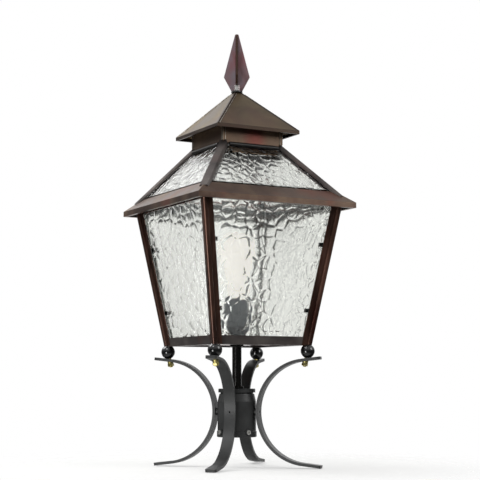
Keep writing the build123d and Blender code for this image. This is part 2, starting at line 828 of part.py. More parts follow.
# ======================= chimney =======================
# A square sheet box with lapped corner seams, a flashing over the glass and a shelf under it.
flashing_top = roof_at(chimney_half) + bar_rise
shelf_drop = (glass_thickness + pane_gap) / roof_cos
with BuildPart() as chimney:
    with BuildSketch(Plane.XY.offset(chimney_foot)):
        Rectangle(chimney_half * 2, chimney_half * 2)
        Rectangle((chimney_half - sheet) * 2, (chimney_half - sheet) * 2, mode=Mode.SUBTRACT)
    extrude(amount=chimney_top - chimney_foot)
    seam_low = roof_top + bar_end_lap
    with BuildSketch(Plane.XY.offset(seam_low)):
        with GridLocations(chimney_half * 2 - seam_width, chimney_half * 2 - seam_width, 2, 2):
            Rectangle(seam_width + seam_thickness * 2, seam_width + seam_thickness * 2)
        Rectangle((chimney_half - sheet / 2) * 2, (chimney_half - sheet / 2) * 2, mode=Mode.SUBTRACT)
    extrude(amount=chimney_top - seam_low)
    with BuildSketch(Plane.YZ) as skirt_profile:
        with BuildLine():
            Polyline(
                (-chimney_half + sheet / 2, flashing_top),
                (-chimney_half, flashing_top),
                (-chimney_half - flashing_reach, roof_at(chimney_half + flashing_reach) + bar_rise),
                (-chimney_half - flashing_reach, roof_at(chimney_half + flashing_reach) + pane_gap),
                (-chimney_half, roof_at(chimney_half) + pane_gap),
                (-chimney_half + sheet / 2, roof_at(chimney_half) + pane_gap),
                close=True,
            )
        make_face()
        with BuildLine():
            Polyline(
                (-chimney_half + sheet / 2, roof_at(chimney_half) - shelf_drop),
                (-chimney_half, roof_at(chimney_half) - shelf_drop),
                (-chimney_half - shelf_reach, roof_at(chimney_half + shelf_reach) - shelf_drop),
                (-chimney_half - shelf_reach, roof_at(chimney_half + shelf_reach) - shelf_drop - sheet),
                (-chimney_half, roof_at(chimney_half) - shelf_drop - sheet),
                (-chimney_half + sheet / 2, roof_at(chimney_half) - shelf_drop - sheet),
                close=True,
            )
        make_face()
    for number in range(sides):
        skirt = extrude(skirt_profile.sketch, amount=flashing_half_length, both=True, mode=Mode.PRIVATE)
        add(skirt, rotation=(0, 0, quarter_turn * number))
save(chimney.part, "chimney")

# ======================= cap =======================
# A pyramid of thin sheet with a short skirt, a hem turned inward and seams along the hips.
cap_angle = math.atan(cap_slope)
cap_plane = Plane(
    origin=(0, -cap_half, cap_eave),
    x_dir=(1, 0, 0),
    z_dir=(0, -math.sin(cap_angle), math.cos(cap_angle)),
)
cap_run = (cap_half - cap_top_half - cap_seam_width) / math.cos(cap_angle)
cap_run_half = cap_top_half + cap_seam_width
with BuildPart() as vent_cap:
    with BuildSketch(Plane.XY.offset(cap_bottom)):
        Rectangle(cap_half * 2, cap_half * 2)
    extrude(amount=cap_skirt)
    with BuildSketch(Plane.XY.offset(cap_eave)):
        Rectangle(cap_half * 2, cap_half * 2)
    extrude(amount=cap_rise, taper=math.degrees(math.atan(1 / cap_slope)))
    offset(amount=-sheet, openings=vent_cap.faces().sort_by(Axis.Z)[0])
    with BuildSketch(Plane.XY.offset(cap_bottom)):
        Rectangle(cap_half * 2, cap_half * 2)
        Rectangle((cap_half - cap_hem) * 2, (cap_half - cap_hem) * 2, mode=Mode.SUBTRACT)
    extrude(amount=sheet)
    for number in range(sides):
        turned_plane = Plane(
            origin=cap_plane.origin.rotate(Axis.Z, quarter_turn * number),
            x_dir=cap_plane.x_dir.rotate(Axis.Z, quarter_turn * number),
            z_dir=cap_plane.z_dir.rotate(Axis.Z, quarter_turn * number),
        )
        with BuildSketch(turned_plane.offset(-sheet / 2)):
            with BuildLine():
                Polyline(
                    (-cap_half, 0),
                    (-cap_half + cap_seam_width, 0),
                    (-cap_run_half + cap_seam_width, cap_run),
                    (-cap_run_half, cap_run),
                    close=True,
                )
            make_face()
        extrude(amount=cap_seam_thickness + sheet / 2)
    with BuildSketch(Plane.XY.offset(cap_top - cutter_over)):
        Circle(cap_hole_radius)
    extrude(amount=cutter_over * 2, mode=Mode.SUBTRACT)
save(vent_cap.part, "vent_cap")

# ---- four straps hold the cap off the chimney's top ----
cap_inner_rise = sheet / math.cos(cap_angle)
strap_face = chimney_half - sheet
strap_out = strap_face - strap_thickness


def cap_inside_at(half):
    """Height of the cap sheet's inner face at a distance from the axis."""
    return cap_eave + (cap_half - half) * cap_slope - cap_inner_rise


with BuildPart() as cap_strap:
    with BuildSketch(Plane.YZ):
        with BuildLine():
            Polyline(
                (-strap_face, chimney_top - strap_height),
                (-strap_face, cap_inside_at(strap_face)),
                (-strap_face + strap_foot, cap_inside_at(strap_face - strap_foot)),
                (-strap_face + strap_foot, cap_inside_at(strap_face - strap_foot) - strap_thickness),
                (-strap_out, cap_inside_at(strap_out) - strap_thickness),
                (-strap_out, chimney_top - strap_height),
                close=True,
            )
        make_face()
    extrude(amount=strap_width / 2, both=True)
with BuildPart() as cap_straps:
    with PolarLocations(0, sides):
        add(cap_strap.part)
save(cap_straps.part, "cap_straps")

# ======================= finial =======================
finial_plane = Plane(
    origin=(0, 0, 0),
    x_dir=(math.cos(math.radians(finial_heading)), math.sin(math.radians(finial_heading)), 0),
    z_dir=(math.sin(math.radians(finial_heading)), -math.cos(math.radians(finial_heading)), 0),
)
side_plane = Plane(origin=(0, 0, 0), x_dir=finial_plane.z_dir, z_dir=finial_plane.x_dir * -1)

with BuildPart() as finial_washer:
    with BuildSketch(Plane.XY.offset(washer_bottom)):
        Circle(washer_radius)
        Circle(tie_rod_radius + fit_gap, mode=Mode.SUBTRACT)
    extrude(amount=washer_thickness)
    chamfer(finial_washer.edges().group_by(Axis.Z)[-1].sort_by(SortBy.RADIUS)[-1], length=sheet / 2)
save(finial_washer.part, "finial_washer")

with BuildPart() as finial_nut:
    with BuildSketch(Plane.XY.offset(finial_bottom)):
        with Locations(Rotation(0, 0, finial_heading)):
            RegularPolygon(finial_nut_flats / 2, hexagon, major_radius=False)
        Circle(tie_rod_radius + pin_gap, mode=Mode.SUBTRACT)
    extrude(amount=finial_nut_height)
save(finial_nut.part, "finial_nut")

# Two kite plates cross at the axis; the first straddles the nut, the second starts above it.
with BuildPart() as finial_vanes:
    for plane in (finial_plane, side_plane):
        with BuildSketch(plane):
            with BuildLine():
                Polyline(
                    (-finial_foot_half, finial_bottom),
                    (finial_foot_half, finial_bottom),
                    (finial_wide_half, finial_wide_height),
                    (finial_tip_half, finial_tip),
                    (-finial_tip_half, finial_tip),
                    (-finial_wide_half, finial_wide_height),
                    close=True,
                )
            make_face()
            if plane is side_plane:
                with Locations((0, finial_bottom)):
                    Rectangle(
                        finial_wide_half * 2,
                        finial_nut_height * 2 + lead_in,
                        mode=Mode.SUBTRACT,
                    )
        extrude(amount=vane_thickness / 2, both=True)
    with BuildSketch(Plane.XY.offset(finial_bottom)):
        with Locations(Rotation(0, 0, finial_heading)):
            RegularPolygon(finial_nut_flats / 2, hexagon, major_radius=False)
    extrude(amount=finial_nut_height, mode=Mode.SUBTRACT)
    with BuildSketch(Plane.XY.offset(finial_nut_top - lead_in)):
        Circle(tie_rod_radius + fit_gap)
    extrude(amount=lead_in * 2, mode=Mode.SUBTRACT)
save(finial_vanes.part, "finial_vanes")

# ======================= lampholder =======================
with BuildPart() as lampholder:
    with BuildSketch(Plane.XZ):
        with BuildLine():
            Polyline(
                (conduit_radius, holder_bottom),
                (holder_hub_radius, holder_bottom),
                (holder_hub_radius, holder_bottom + holder_hub_height),
                (holder_radius, holder_bottom + holder_hub_height + holder_bell_height),
                (holder_radius, holder_top - lead_in),
                (holder_radius - lead_in, holder_top),
                (holder_radius - holder_wall, holder_top),
                (holder_radius - holder_wall, holder_top - holder_well_depth),
                (conduit_radius - conduit_wall, holder_top - holder_well_depth),
                (conduit_radius - conduit_wall, holder_bottom + holder_hub_height),
                (conduit_radius, holder_bottom + holder_hub_height),
                close=True,
            )
        make_face()
    revolve(axis=Axis.Z)
save(lampholder.part, "lampholder")

shell_outer = holder_radius - holder_wall - pin_gap
shell_inner = lamp_base_radius + lamp_thread_height + shell_gap
with BuildPart() as lampholder_shell:
    with BuildSketch(Plane.XZ):
        with BuildLine():
            Polyline(
                (0, holder_top - holder_well_depth),
                (shell_outer, holder_top - holder_well_depth),
                (shell_outer, holder_top - lead_in),
                (shell_inner, holder_top - lead_in),
                (shell_inner, holder_top - holder_well_depth + shell_wall),
                (lamp_contact_radius, holder_top - holder_well_depth + shell_wall),
                (lamp_contact_radius, holder_top - holder_well_depth + shell_wall + lead_in),
                (0, holder_top - holder_well_depth + shell_wall + lead_in),
                close=True,
            )
        make_face()
    revolve(axis=Axis.Z)
save(lampholder_shell.part, "lampholder_shell")

# ---- lamp: screw base with its contact, and a frosted bulb ----
lamp_base_top = lamp_base_low + lamp_base_length
with BuildPart() as lamp_base:
    with BuildSketch(Plane.XZ):
        with BuildLine():
            thread_start = lamp_base_low + lamp_contact_height
            thread_end = thread_start + lamp_thread_pitch * lamp_thread_turns
            Polyline(
                (0, lamp_base_low - lamp_contact_height / 2),
                (lamp_contact_radius, lamp_base_low - lamp_contact_height / 2),
                (lamp_contact_radius, lamp_base_low),
                (lamp_base_radius - lamp_contact_height, lamp_base_low),
                (lamp_base_radius + lamp_thread_height, thread_start),
                (lamp_base_radius + lamp_thread_height, thread_end),
                (lamp_base_radius, thread_end),
                (lamp_base_radius, lamp_base_top),
                (0, lamp_base_top),
                close=True,
            )
        make_face()
    revolve(axis=Axis.Z)
save(lamp_base.part, "lamp_base")

lamp_shoulder = lamp_base_top + lamp_thread_pitch
lamp_top = lamp_base_top + lamp_length
lamp_bulge = lamp_top - lamp_radius
lamp_swell = lamp_radius - lamp_neck_radius


def lamp_outline(inset):
    """Half outline of the lamp, set in by a wall: neck, soft swell and round top."""
    points = [(0, lamp_base_top), (lamp_neck_radius - inset, lamp_base_top)]
    for step in range(lamp_steps + 1):
        share = step / lamp_steps
        swell = lamp_swell * (1 - math.cos(math.pi * share)) / 2
        rise = (lamp_bulge - lamp_shoulder) * share
        points.append((lamp_neck_radius + swell - inset, lamp_shoulder + rise))
    for step in range(1, lamp_steps):
        turn = math.radians(quarter_turn * step / lamp_steps)
        reach = lamp_radius - inset
        points.append((reach * math.cos(turn), lamp_bulge + reach * math.sin(turn)))
    points.append((0, lamp_top - inset))
    return points


with BuildPart() as lamp_bulb:
    with BuildSketch(Plane.XZ):
        with BuildLine():
            Polyline(*lamp_outline(0), close=True)
        make_face()
        with BuildLine():
            Polyline(*lamp_outline(lamp_wall), close=True)
        make_face(mode=Mode.SUBTRACT)
    revolve(axis=Axis.Z)
save(lamp_bulb.part, "lamp_bulb")

# ======================= pane clips =======================
# A spring clip in each corner: its stem stands on the rod, its wings press on both panes.
clip_root = angle_thickness + pane_gap + glass_thickness + pin_gap
clip_start = rod_radius / stud_direction.Z
clip_stem = clip_root * diagonal + clip_thickness - clip_start
with BuildPart() as corner_clips:
    for level in (body_floor_height + clip_low_rise, body_top_height - clip_high_drop):
        with BuildSketch(Plane.XY.offset(level)):
            with Locations((-face_at(level) + clip_root, -face_at(level) + clip_root)):
                Rectangle(clip_reach, clip_thickness, align=(Align.MIN, Align.MIN))
                Rectangle(clip_thickness, clip_reach, align=(Align.MIN, Align.MIN))
            stem_centre = -face_at(level) + (clip_start + clip_stem / 2) / diagonal
            with Locations((stem_centre, stem_centre)):
                Rectangle(clip_stem, clip_thickness, rotation=half_turn / sides)
        extrude(amount=clip_width / stud_direction.Z, dir=stud_direction)
with BuildPart() as pane_clips:
    with PolarLocations(0, sides):
        add(corner_clips.part)
save(pane_clips.part, "pane_clips")
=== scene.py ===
import math
import bmesh
import bpy
from mathutils import Matrix, Vector


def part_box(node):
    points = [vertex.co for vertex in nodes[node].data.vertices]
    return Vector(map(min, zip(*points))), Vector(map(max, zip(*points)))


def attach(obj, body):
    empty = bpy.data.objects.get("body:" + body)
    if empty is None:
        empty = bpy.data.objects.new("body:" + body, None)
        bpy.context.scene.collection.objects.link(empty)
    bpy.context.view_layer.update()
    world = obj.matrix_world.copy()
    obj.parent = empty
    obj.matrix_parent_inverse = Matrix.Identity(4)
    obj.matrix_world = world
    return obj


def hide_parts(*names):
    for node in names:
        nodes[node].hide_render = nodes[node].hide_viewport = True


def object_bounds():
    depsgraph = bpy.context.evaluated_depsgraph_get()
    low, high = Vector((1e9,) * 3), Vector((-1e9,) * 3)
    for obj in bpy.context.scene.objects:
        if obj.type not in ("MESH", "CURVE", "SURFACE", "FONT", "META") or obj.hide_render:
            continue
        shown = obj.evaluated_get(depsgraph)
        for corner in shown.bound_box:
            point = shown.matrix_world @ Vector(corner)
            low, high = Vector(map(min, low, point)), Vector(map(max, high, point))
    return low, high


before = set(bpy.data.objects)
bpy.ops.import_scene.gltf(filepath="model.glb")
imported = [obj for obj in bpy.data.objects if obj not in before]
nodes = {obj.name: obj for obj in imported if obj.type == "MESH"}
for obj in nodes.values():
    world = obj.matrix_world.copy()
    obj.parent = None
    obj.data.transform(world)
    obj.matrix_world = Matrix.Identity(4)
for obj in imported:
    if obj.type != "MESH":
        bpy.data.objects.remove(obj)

scene = bpy.context.scene
cad_low, cad_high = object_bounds()

# ======================= studio =======================
# The lantern is seen from a little below, against plain white. The floor is a pale disc just
# under the lowest arm ends that fades out before its far edge.
photo_pixels = 480
photo_centre_x = 236.8
camera_place = Vector((-1.3995, -2.5850, 0.1197))
camera_heading = math.radians(28.43)
camera_pitch = math.radians(6.28)
lens_millimetres = 97.5
sensor_millimetres = 36.0

camera_data = bpy.data.cameras.new("photo_camera")
camera_data.lens = lens_millimetres
camera_data.sensor_width = sensor_millimetres
camera_data.shift_x = (photo_pixels / 2 - photo_centre_x) / photo_pixels
camera = bpy.data.objects.new("photo_camera", camera_data)
scene.collection.objects.link(camera)
camera.location = camera_place
looking = Vector((
    math.sin(camera_heading) * math.cos(camera_pitch),
    math.cos(camera_heading) * math.cos(camera_pitch),
    math.sin(camera_pitch),
))
camera.rotation_mode = "QUATERNION"
camera.rotation_quaternion = looking.to_track_quat("-Z", "Y")
scene.camera = camera
scene.view_settings.view_transform = "Standard"


def linear(hex_colour):
    """An sRGB hex colour as linear red, green, blue and alpha."""
    shares = [int(hex_colour[i:i + 2], 16) / 255 for i in (1, 3, 5)]
    return tuple(c / 12.92 if c <= 0.04045 else ((c + 0.055) / 1.055) ** 2.4 for c in shares) + (1.0,)


def add_node(tree, kind, inputs=None, **settings):
    """Adds a node, gives it its settings, and sets or links its inputs by name or number."""
    made = tree.nodes.new(kind)
    for name, value in settings.items():
        setattr(made, name, value)
    for name, value in (inputs or {}).items():
        if isinstance(value, bpy.types.NodeSocket):
            tree.links.new(value, made.inputs[name])
        else:
            made.inputs[name].default_value = value
    return made


def new_material(name):
    """An empty material, with its tree, its Object coordinates and its shader."""
    material = bpy.data.materials.new(name)
    material.use_nodes = True
    tree = material.node_tree
    tree.nodes.clear()
    place = add_node(tree, "ShaderNodeTexCoord").outputs["Object"]
    shader = add_node(tree, "ShaderNodeBsdfPrincipled")
    add_node(tree, "ShaderNodeOutputMaterial", {"Surface": shader.outputs[0]})
    return material, tree, place, shader


# ---- surroundings: a dim room, a bright ceiling and a lit backdrop behind the lantern ----
room_light = 0.08
ceiling_light = 0.66
ceiling_full = 0.6
backdrop_way = (0.476, 0.879, 0.0)
backdrop_edge = 0.6
world = bpy.data.worlds.new("white_studio")
scene.world = world
world.use_nodes = True
sky = world.node_tree
sky.nodes.clear()
direction = add_node(sky, "ShaderNodeTexCoord").outputs["Generated"]
height = add_node(sky, "ShaderNodeSeparateXYZ", {0: direction}).outputs["Z"]
ceiling = add_node(sky, "ShaderNodeMapRange",
                   {"Value": height, "From Min": 0.0, "From Max": ceiling_full,
                    "To Min": room_light, "To Max": ceiling_light},
                   interpolation_type="SMOOTHSTEP")
behind = add_node(sky, "ShaderNodeVectorMath", {0: direction, 1: backdrop_way}, operation="DOT_PRODUCT")
backdrop = add_node(sky, "ShaderNodeMapRange",
                    {"Value": behind.outputs["Value"], "From Min": backdrop_edge, "From Max": 1.0,
                     "To Min": 0.0, "To Max": 1.0},
                    interpolation_type="SMOOTHSTEP")
soft_light = add_node(sky, "ShaderNodeMath", {0: ceiling.outputs[0], 1: backdrop.outputs[0]},
                      operation="ADD")
# straight on and through the glass, the surroundings look plain white
ray = add_node(sky, "ShaderNodeLightPath")
seen = add_node(sky, "ShaderNodeMath",
                {0: ray.outputs["Is Camera Ray"], 1: ray.outputs["Is Transmission Ray"]},
                operation="MAXIMUM")
lit = add_node(sky, "ShaderNodeBackground", {"Color": (1, 1, 1, 1), "Strength": soft_light.outputs[0]})
white = add_node(sky, "ShaderNodeBackground", {"Color": (1, 1, 1, 1), "Strength": 1.0})
both = add_node(sky, "ShaderNodeMixShader", {0: seen.outputs[0], 1: lit.outputs[0], 2: white.outputs[0]})
add_node(sky, "ShaderNodeOutputWorld", {"Surface": both.outputs[0]})

lamp_distance = 2.2


def softbox(name, azimuth, elevation, wide, tall, power):
    """A large soft lamp aimed at the middle of the lantern, placed by its angles in degrees."""
    aim = (cad_low + cad_high) / 2
    a, e = math.radians(azimuth), math.radians(elevation)
    out = Vector((math.sin(a) * math.cos(e), -math.cos(a) * math.cos(e), math.sin(e)))
    data = bpy.data.lights.new(name, "AREA")
    data.shape = "RECTANGLE"
    data.size = wide
    data.size_y = tall
    data.energy = power
    lamp = bpy.data.objects.new(name, data)
    scene.collection.objects.link(lamp)
    lamp.location = aim + out * lamp_distance
    lamp.rotation_mode = "QUATERNION"
    lamp.rotation_quaternion = (-out).to_track_quat("-Z", "Y")
    return lamp


softbox("back_left_softbox", azimuth=-140, elevation=42, wide=1.2, tall=1.2, power=24)
softbox("low_left_softbox", azimuth=-62, elevation=-19, wide=0.55, tall=0.8, power=13)
softbox("high_left_softbox", azimuth=-62, elevation=46, wide=0.7, tall=0.8, power=9)
softbox("right_softbox", azimuth=38, elevation=24, wide=1.0, tall=1.0, power=12)
# a small lamp stands in for the lit bulb, and brightens the far corner behind the glass
glow_place = (0.04, 0.04, 0.36)
glow = softbox("bulb_glow", azimuth=-45, elevation=0, wide=0.1, tall=0.24, power=0.6)
glow.location = glow_place
glow.visible_camera = False
glow.visible_transmission = False


def mesh_from(bm, name):
    """Ends a bmesh in a mesh of this name."""
    mesh = bpy.data.meshes.new(name)
    bm.to_mesh(mesh)
    bm.free()
    return mesh


floor_gap = 0.001
floor_radius = 1.8
floor_steady = 0.2
floor_gone = 0.8
floor_share = 0.6
bm = bmesh.new()
bmesh.ops.create_circle(bm, cap_ends=True, segments=96, radius=floor_radius,
                        matrix=Matrix.Translation((0, 0, cad_low.z - floor_gap)))
floor_mesh = mesh_from(bm, "studio_floor")
studio_floor = bpy.data.objects.new("studio_floor", floor_mesh)
scene.collection.objects.link(studio_floor)
floor_paint, tree, place, shader = new_material("pale_floor_paint")
# floor paint: matt and nearly white, and it thins out to nothing away from the lantern
shader.inputs["Base Color"].default_value = linear("#f7f7f5")
shader.inputs["Roughness"].default_value = 0.9
away = add_node(tree, "ShaderNodeVectorMath", {0: place}, operation="LENGTH")
shown = add_node(tree, "ShaderNodeMapRange",
                 {"Value": away.outputs["Value"], "From Min": floor_steady, "From Max": floor_gone,
                  "To Min": floor_share, "To Max": 0.0},
                 interpolation_type="SMOOTHSTEP")
see_through = add_node(tree, "ShaderNodeBsdfTransparent")
faded = add_node(tree, "ShaderNodeMixShader",
                 {0: shown.outputs[0], 1: see_through.outputs[0], 2: shader.outputs[0]})
tree.links.new(faded.outputs[0], tree.nodes["Material Output"].inputs["Surface"])
floor_mesh.materials.append(floor_paint)

# ======================= post fitter, arms and their screws =======================
# A cast iron sleeve and four bars of flat steel bent to a bow, all sprayed with black powder
# coat. A countersunk screw and a round spacer hold each arm to the sleeve.


def per_size(millimetres):
    """Texture scale that makes a pattern's features this large, on coordinates in metres."""
    return 1000 / millimetres


def mottled(tree, where, patch, detail, stops, **more):
    """Uneven patches this many millimetres large, and their colours from (level, hex colour) stops."""
    patches = add_node(tree, "ShaderNodeTexNoise",
                       {"Vector": where, "Scale": per_size(patch), "Detail": detail, **more})
    colours = add_node(tree, "ShaderNodeValToRGB", {"Fac": patches.outputs[0]})
    band = colours.color_ramp.elements
    while len(band) < len(stops):
        band.new(0.5)
    for stop, (level, colour) in zip(band, stops):
        stop.position = level
        stop.color = linear(colour)
    return patches.outputs[0], colours.outputs["Color"]


def coat(material, *names):
    """Gives CAD nodes a material."""
    for name in names:
        for holder in nodes[name].material_slots:
            holder.material = material


powder_coat, tree, place, shader = new_material("satin_black_powder_coat")
# powder coat: satin, with a faint orange peel and slightly greyer where it is rubbed
rub, rub_colour = mottled(tree, place, 48, 4.0, [(0.35, "#282929"), (0.7, "#3b3c3c")])
tree.links.new(rub_colour, shader.inputs["Base Color"])
gloss = add_node(tree, "ShaderNodeMapRange", {"Value": rub, "To Min": 0.34, "To Max": 0.5})
tree.links.new(gloss.outputs[0], shader.inputs["Roughness"])
peel = add_node(tree, "ShaderNodeTexNoise", {"Vector": place, "Scale": per_size(1.6), "Detail": 2.0})
peel_bump = add_node(tree, "ShaderNodeBump",
                     {"Height": peel.outputs[0], "Strength": 0.25, "Distance": 0.0002})
tree.links.new(peel_bump.outputs[0], shader.inputs["Normal"])
quarters = (1, 2, 3, 4)
coat(powder_coat, "post_fitter", "arm_spacers", "arm_screws", "finial_washer",
     *[f"bracket_arm_{n}" for n in quarters])

# ---- set screws: hardened steel grub screws, oiled bright, driven by a hexagon key ----
screw_steel, tree, place, shader = new_material("bright_hardened_steel")
# hardened steel: bright, but turned and oiled, so that its highlights are soft and cloudy
shader.inputs["Metallic"].default_value = 1.0
turned, turned_colour = mottled(tree, place, 2.5, 3.0, [(0.3, "#c4c4c1"), (0.7, "#e8e8e4")])
tree.links.new(turned_colour, shader.inputs["Base Color"])
steel_gloss = add_node(tree, "ShaderNodeMapRange", {"Value": turned, "To Min": 0.36, "To Max": 0.5})
tree.links.new(steel_gloss.outputs[0], shader.inputs["Roughness"])
coat(screw_steel, *[f"set_screw_{n}" for n in quarters])

# ======================= conduit and its lock nuts =======================
# A blackened steel pipe stands in the fitter and goes up through the floor, with a thin hexagon
# lock nut on the fitter and one on each side of the floor. The panes' spring clips are of the
# same steel.
pipe_black, tree, place, shader = new_material("blackened_steel")
# blackened steel: dark, faintly drawn along its length, shinier than powder coat
along = add_node(tree, "ShaderNodeMapping", {"Vector": place, "Scale": (1.0, 1.0, 0.08)})
drawn, drawn_colour = mottled(tree, along.outputs[0], 2.2, 3.0, [(0.3, "#191817"), (0.75, "#302e2c")])
tree.links.new(drawn_colour, shader.inputs["Base Color"])
shader.inputs["Metallic"].default_value = 0.6
pipe_gloss = add_node(tree, "ShaderNodeMapRange", {"Value": drawn, "To Min": 0.14, "To Max": 0.3})
tree.links.new(pipe_gloss.outputs[0], shader.inputs["Roughness"])
coat(pipe_black, "conduit", "pane_clips")


def smoothed(mesh, sharpest):
    """Shades a mesh smooth, apart from edges that turn by more than this many degrees."""
    mesh.polygons.foreach_set("use_smooth", [True] * len(mesh.polygons))
    mesh.set_sharp_from_angle(angle=math.radians(sharpest))
    return mesh


def plain_object(name, mesh, material, body):
    """A finished piece at the origin that rides on a body."""
    mesh.name = name
    mesh.materials.clear()
    mesh.materials.append(material)
    piece = bpy.data.objects.new(name, mesh)
    scene.collection.objects.link(piece)
    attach(piece, body)
    return piece


def turned_ring(bm, spot, z, reaches):
    """A ring of points round the Z axis of this place, at one height and with these radii."""
    steps = len(reaches)
    ring = []
    for step, reach in enumerate(reaches):
        turn = math.tau * step / steps
        ring.append(bm.verts.new(spot @ Vector((reach * math.cos(turn), reach * math.sin(turn), z))))
    return ring


def skin(bm, rings):
    """Faces from each ring to the next."""
    for lower, upper in zip(rings, rings[1:]):
        for s in range(len(lower)):
            t = (s + 1) % len(lower)
            bm.faces.new((lower[s], lower[t], upper[t], upper[s]))


def nuts(name, material, body, node, flats, thickness, bore, places):
    """Hexagon nuts with chamfered corners at these places, each with a corner on its own X."""
    steps = 72
    chamfer = flats * 0.09
    corner_start = flats * 0.485
    corner_slope = 1.75
    mouth = bore * 1.08
    mouth_depth = bore * 0.08
    heights = [0, chamfer / 3, chamfer * 2 / 3, chamfer, thickness - chamfer,
               thickness - chamfer * 2 / 3, thickness - chamfer / 3, thickness]
    flat_reaches = [flats / 2 / math.cos((math.tau * step / steps) % (math.pi / 3) - math.pi / 6)
                    for step in range(steps)]
    bm = bmesh.new()
    for spot in places:
        rings = []
        for z in heights:
            cone_reach = corner_start + min(z, thickness - z) * corner_slope
            rings.append(turned_ring(bm, spot, z, [min(reach, cone_reach) for reach in flat_reaches]))
        hole = ((thickness, mouth), (thickness - mouth_depth, bore), (mouth_depth, bore), (0, mouth))
        for z, reach in hole:
            rings.append(turned_ring(bm, spot, z, [reach] * steps))
        skin(bm, rings + rings[:1])
    bmesh.ops.recalc_face_normals(bm, faces=bm.faces[:])
    piece = plain_object(name, smoothed(mesh_from(bm, name), 24), material, body)
    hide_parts(node)


pipe_radius = 0.01065
fitter_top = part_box("post_fitter")[1].z
floor_low, floor_top = (corner.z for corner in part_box("floor_plate"))
lock_nut_thickness = 0.0054
nuts("lock_nuts", pipe_black, "lantern_body", "conduit_lock_nuts",
     flats=0.030, thickness=lock_nut_thickness, bore=pipe_radius,
     places=[Matrix.Translation((0, 0, z)) for z in (fitter_top, floor_low - lock_nut_thickness, floor_top)])

# ======================= balls, studs and brass nuts =======================
# Turned brass balls in gloss black lacquer keep the body off the arms. A brass stud goes
# through each, and a bevel washer and a hexagon nut hold it from below.
lacquer, tree, place, shader = new_material("gloss_black_lacquer")
# lacquer: deep black with sharp reflections, softly waved where it was dipped
shader.inputs["Base Color"].default_value = linear("#0d0d0e")
shader.inputs["Coat Weight"].default_value = 0.6
shader.inputs["Coat Roughness"].default_value = 0.04
dip = add_node(tree, "ShaderNodeTexNoise", {"Vector": place, "Scale": per_size(9), "Detail": 1.0})
dip_bump = add_node(tree, "ShaderNodeBump",
                    {"Height": dip.outputs[0], "Strength": 0.12, "Distance": 0.001})
tree.links.new(dip_bump.outputs[0], shader.inputs["Normal"])
dip_gloss = add_node(tree, "ShaderNodeMapRange", {"Value": dip.outputs[0], "To Min": 0.07, "To Max": 0.2})
tree.links.new(dip_gloss.outputs[0], shader.inputs["Roughness"])
coat(lacquer, "foot_balls")

brass, tree, place, shader = new_material("aged_yellow_brass")
# brass: yellow, browner in patches where it has aged
shader.inputs["Metallic"].default_value = 1.0
age, age_colour = mottled(tree, place, 5, 4.0, [(0.3, "#a09250"), (0.5, "#cfc27c"), (0.75, "#ece6b8")])
tree.links.new(age_colour, shader.inputs["Base Color"])
brass_gloss = add_node(tree, "ShaderNodeMapRange", {"Value": age, "To Min": 0.5, "To Max": 0.36})
tree.links.new(brass_gloss.outputs[0], shader.inputs["Roughness"])
coat(brass, "corner_studs", "bevel_washers", "lampholder_shell")

post_lean = 0.230
ball_axis_radius = 0.164
nut_seat = 0.02689
brass_nut_thickness = 0.0065
stud_bore = 0.00405
ball_low, ball_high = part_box("foot_balls")
ball_centre = Vector((-ball_axis_radius / math.sqrt(2), -ball_axis_radius / math.sqrt(2),
                      (ball_low.z + ball_high.z) / 2))
lean = Vector((-post_lean / math.sqrt(2), -post_lean / math.sqrt(2), 1)).normalized()
across = Vector((-1, 1, 0)).normalized()
nut_axes = Matrix((across, lean.cross(across), lean)).transposed().to_4x4()
nut_frame = Matrix.Translation(ball_centre - lean * (nut_seat + brass_nut_thickness)) @ nut_axes
nuts("chamfered_brass_nuts", brass, "lantern_body", "brass_nuts",
     flats=0.0127, thickness=brass_nut_thickness, bore=stud_bore,
     places=[Matrix.Rotation(math.radians(90 * n), 4, "Z") @ nut_frame for n in range(4)])

# ======================= corner posts, rails and floor =======================
# Brass angle with a round rod along each outer corner, brazed together and toned to a dark
# bronze. The tone runs in long soft streaks, redder where it is thin.


def toned_sheet(name, stops, blush, blush_share, patch, shine, stretch=(1.0, 1.0, 1.0), metal=0.75):
    """Brass or copper toned brown in patches, with a red blush and a fine brushed grain."""
    blush_patch = patch * 1.7
    material, tree, place, shader = new_material(name)
    run = add_node(tree, "ShaderNodeMapping", {"Vector": place, "Scale": stretch})
    tone, base = mottled(tree, run.outputs[0], patch, 5.0, stops, Roughness=0.55, Distortion=0.4)
    warm = add_node(tree, "ShaderNodeTexNoise",
                    {"Vector": run.outputs[0], "Scale": per_size(blush_patch), "Detail": 2.0})
    share = add_node(tree, "ShaderNodeMapRange",
                     {"Value": warm.outputs[0], "From Min": 0.52, "From Max": 0.68,
                      "To Min": 0.0, "To Max": blush_share},
                     interpolation_type="SMOOTHSTEP")
    toned = add_node(tree, "ShaderNodeMix", {0: share.outputs[0], 6: base, 7: linear(blush)},
                     data_type="RGBA")
    tree.links.new(toned.outputs[2], shader.inputs["Base Color"])
    shader.inputs["Metallic"].default_value = metal
    dull = add_node(tree, "ShaderNodeMapRange",
                    {"Value": tone, "From Min": 0.3, "From Max": 0.7,
                     "To Min": shine - 0.06, "To Max": shine + 0.1})
    tree.links.new(dull.outputs[0], shader.inputs["Roughness"])
    grain = add_node(tree, "ShaderNodeTexNoise", {"Vector": place, "Scale": per_size(1.4), "Detail": 3.0})
    bump = add_node(tree, "ShaderNodeBump",
                    {"Height": grain.outputs[0], "Strength": 0.15, "Distance": 0.0001})
    tree.links.new(bump.outputs[0], shader.inputs["Normal"])
    return material


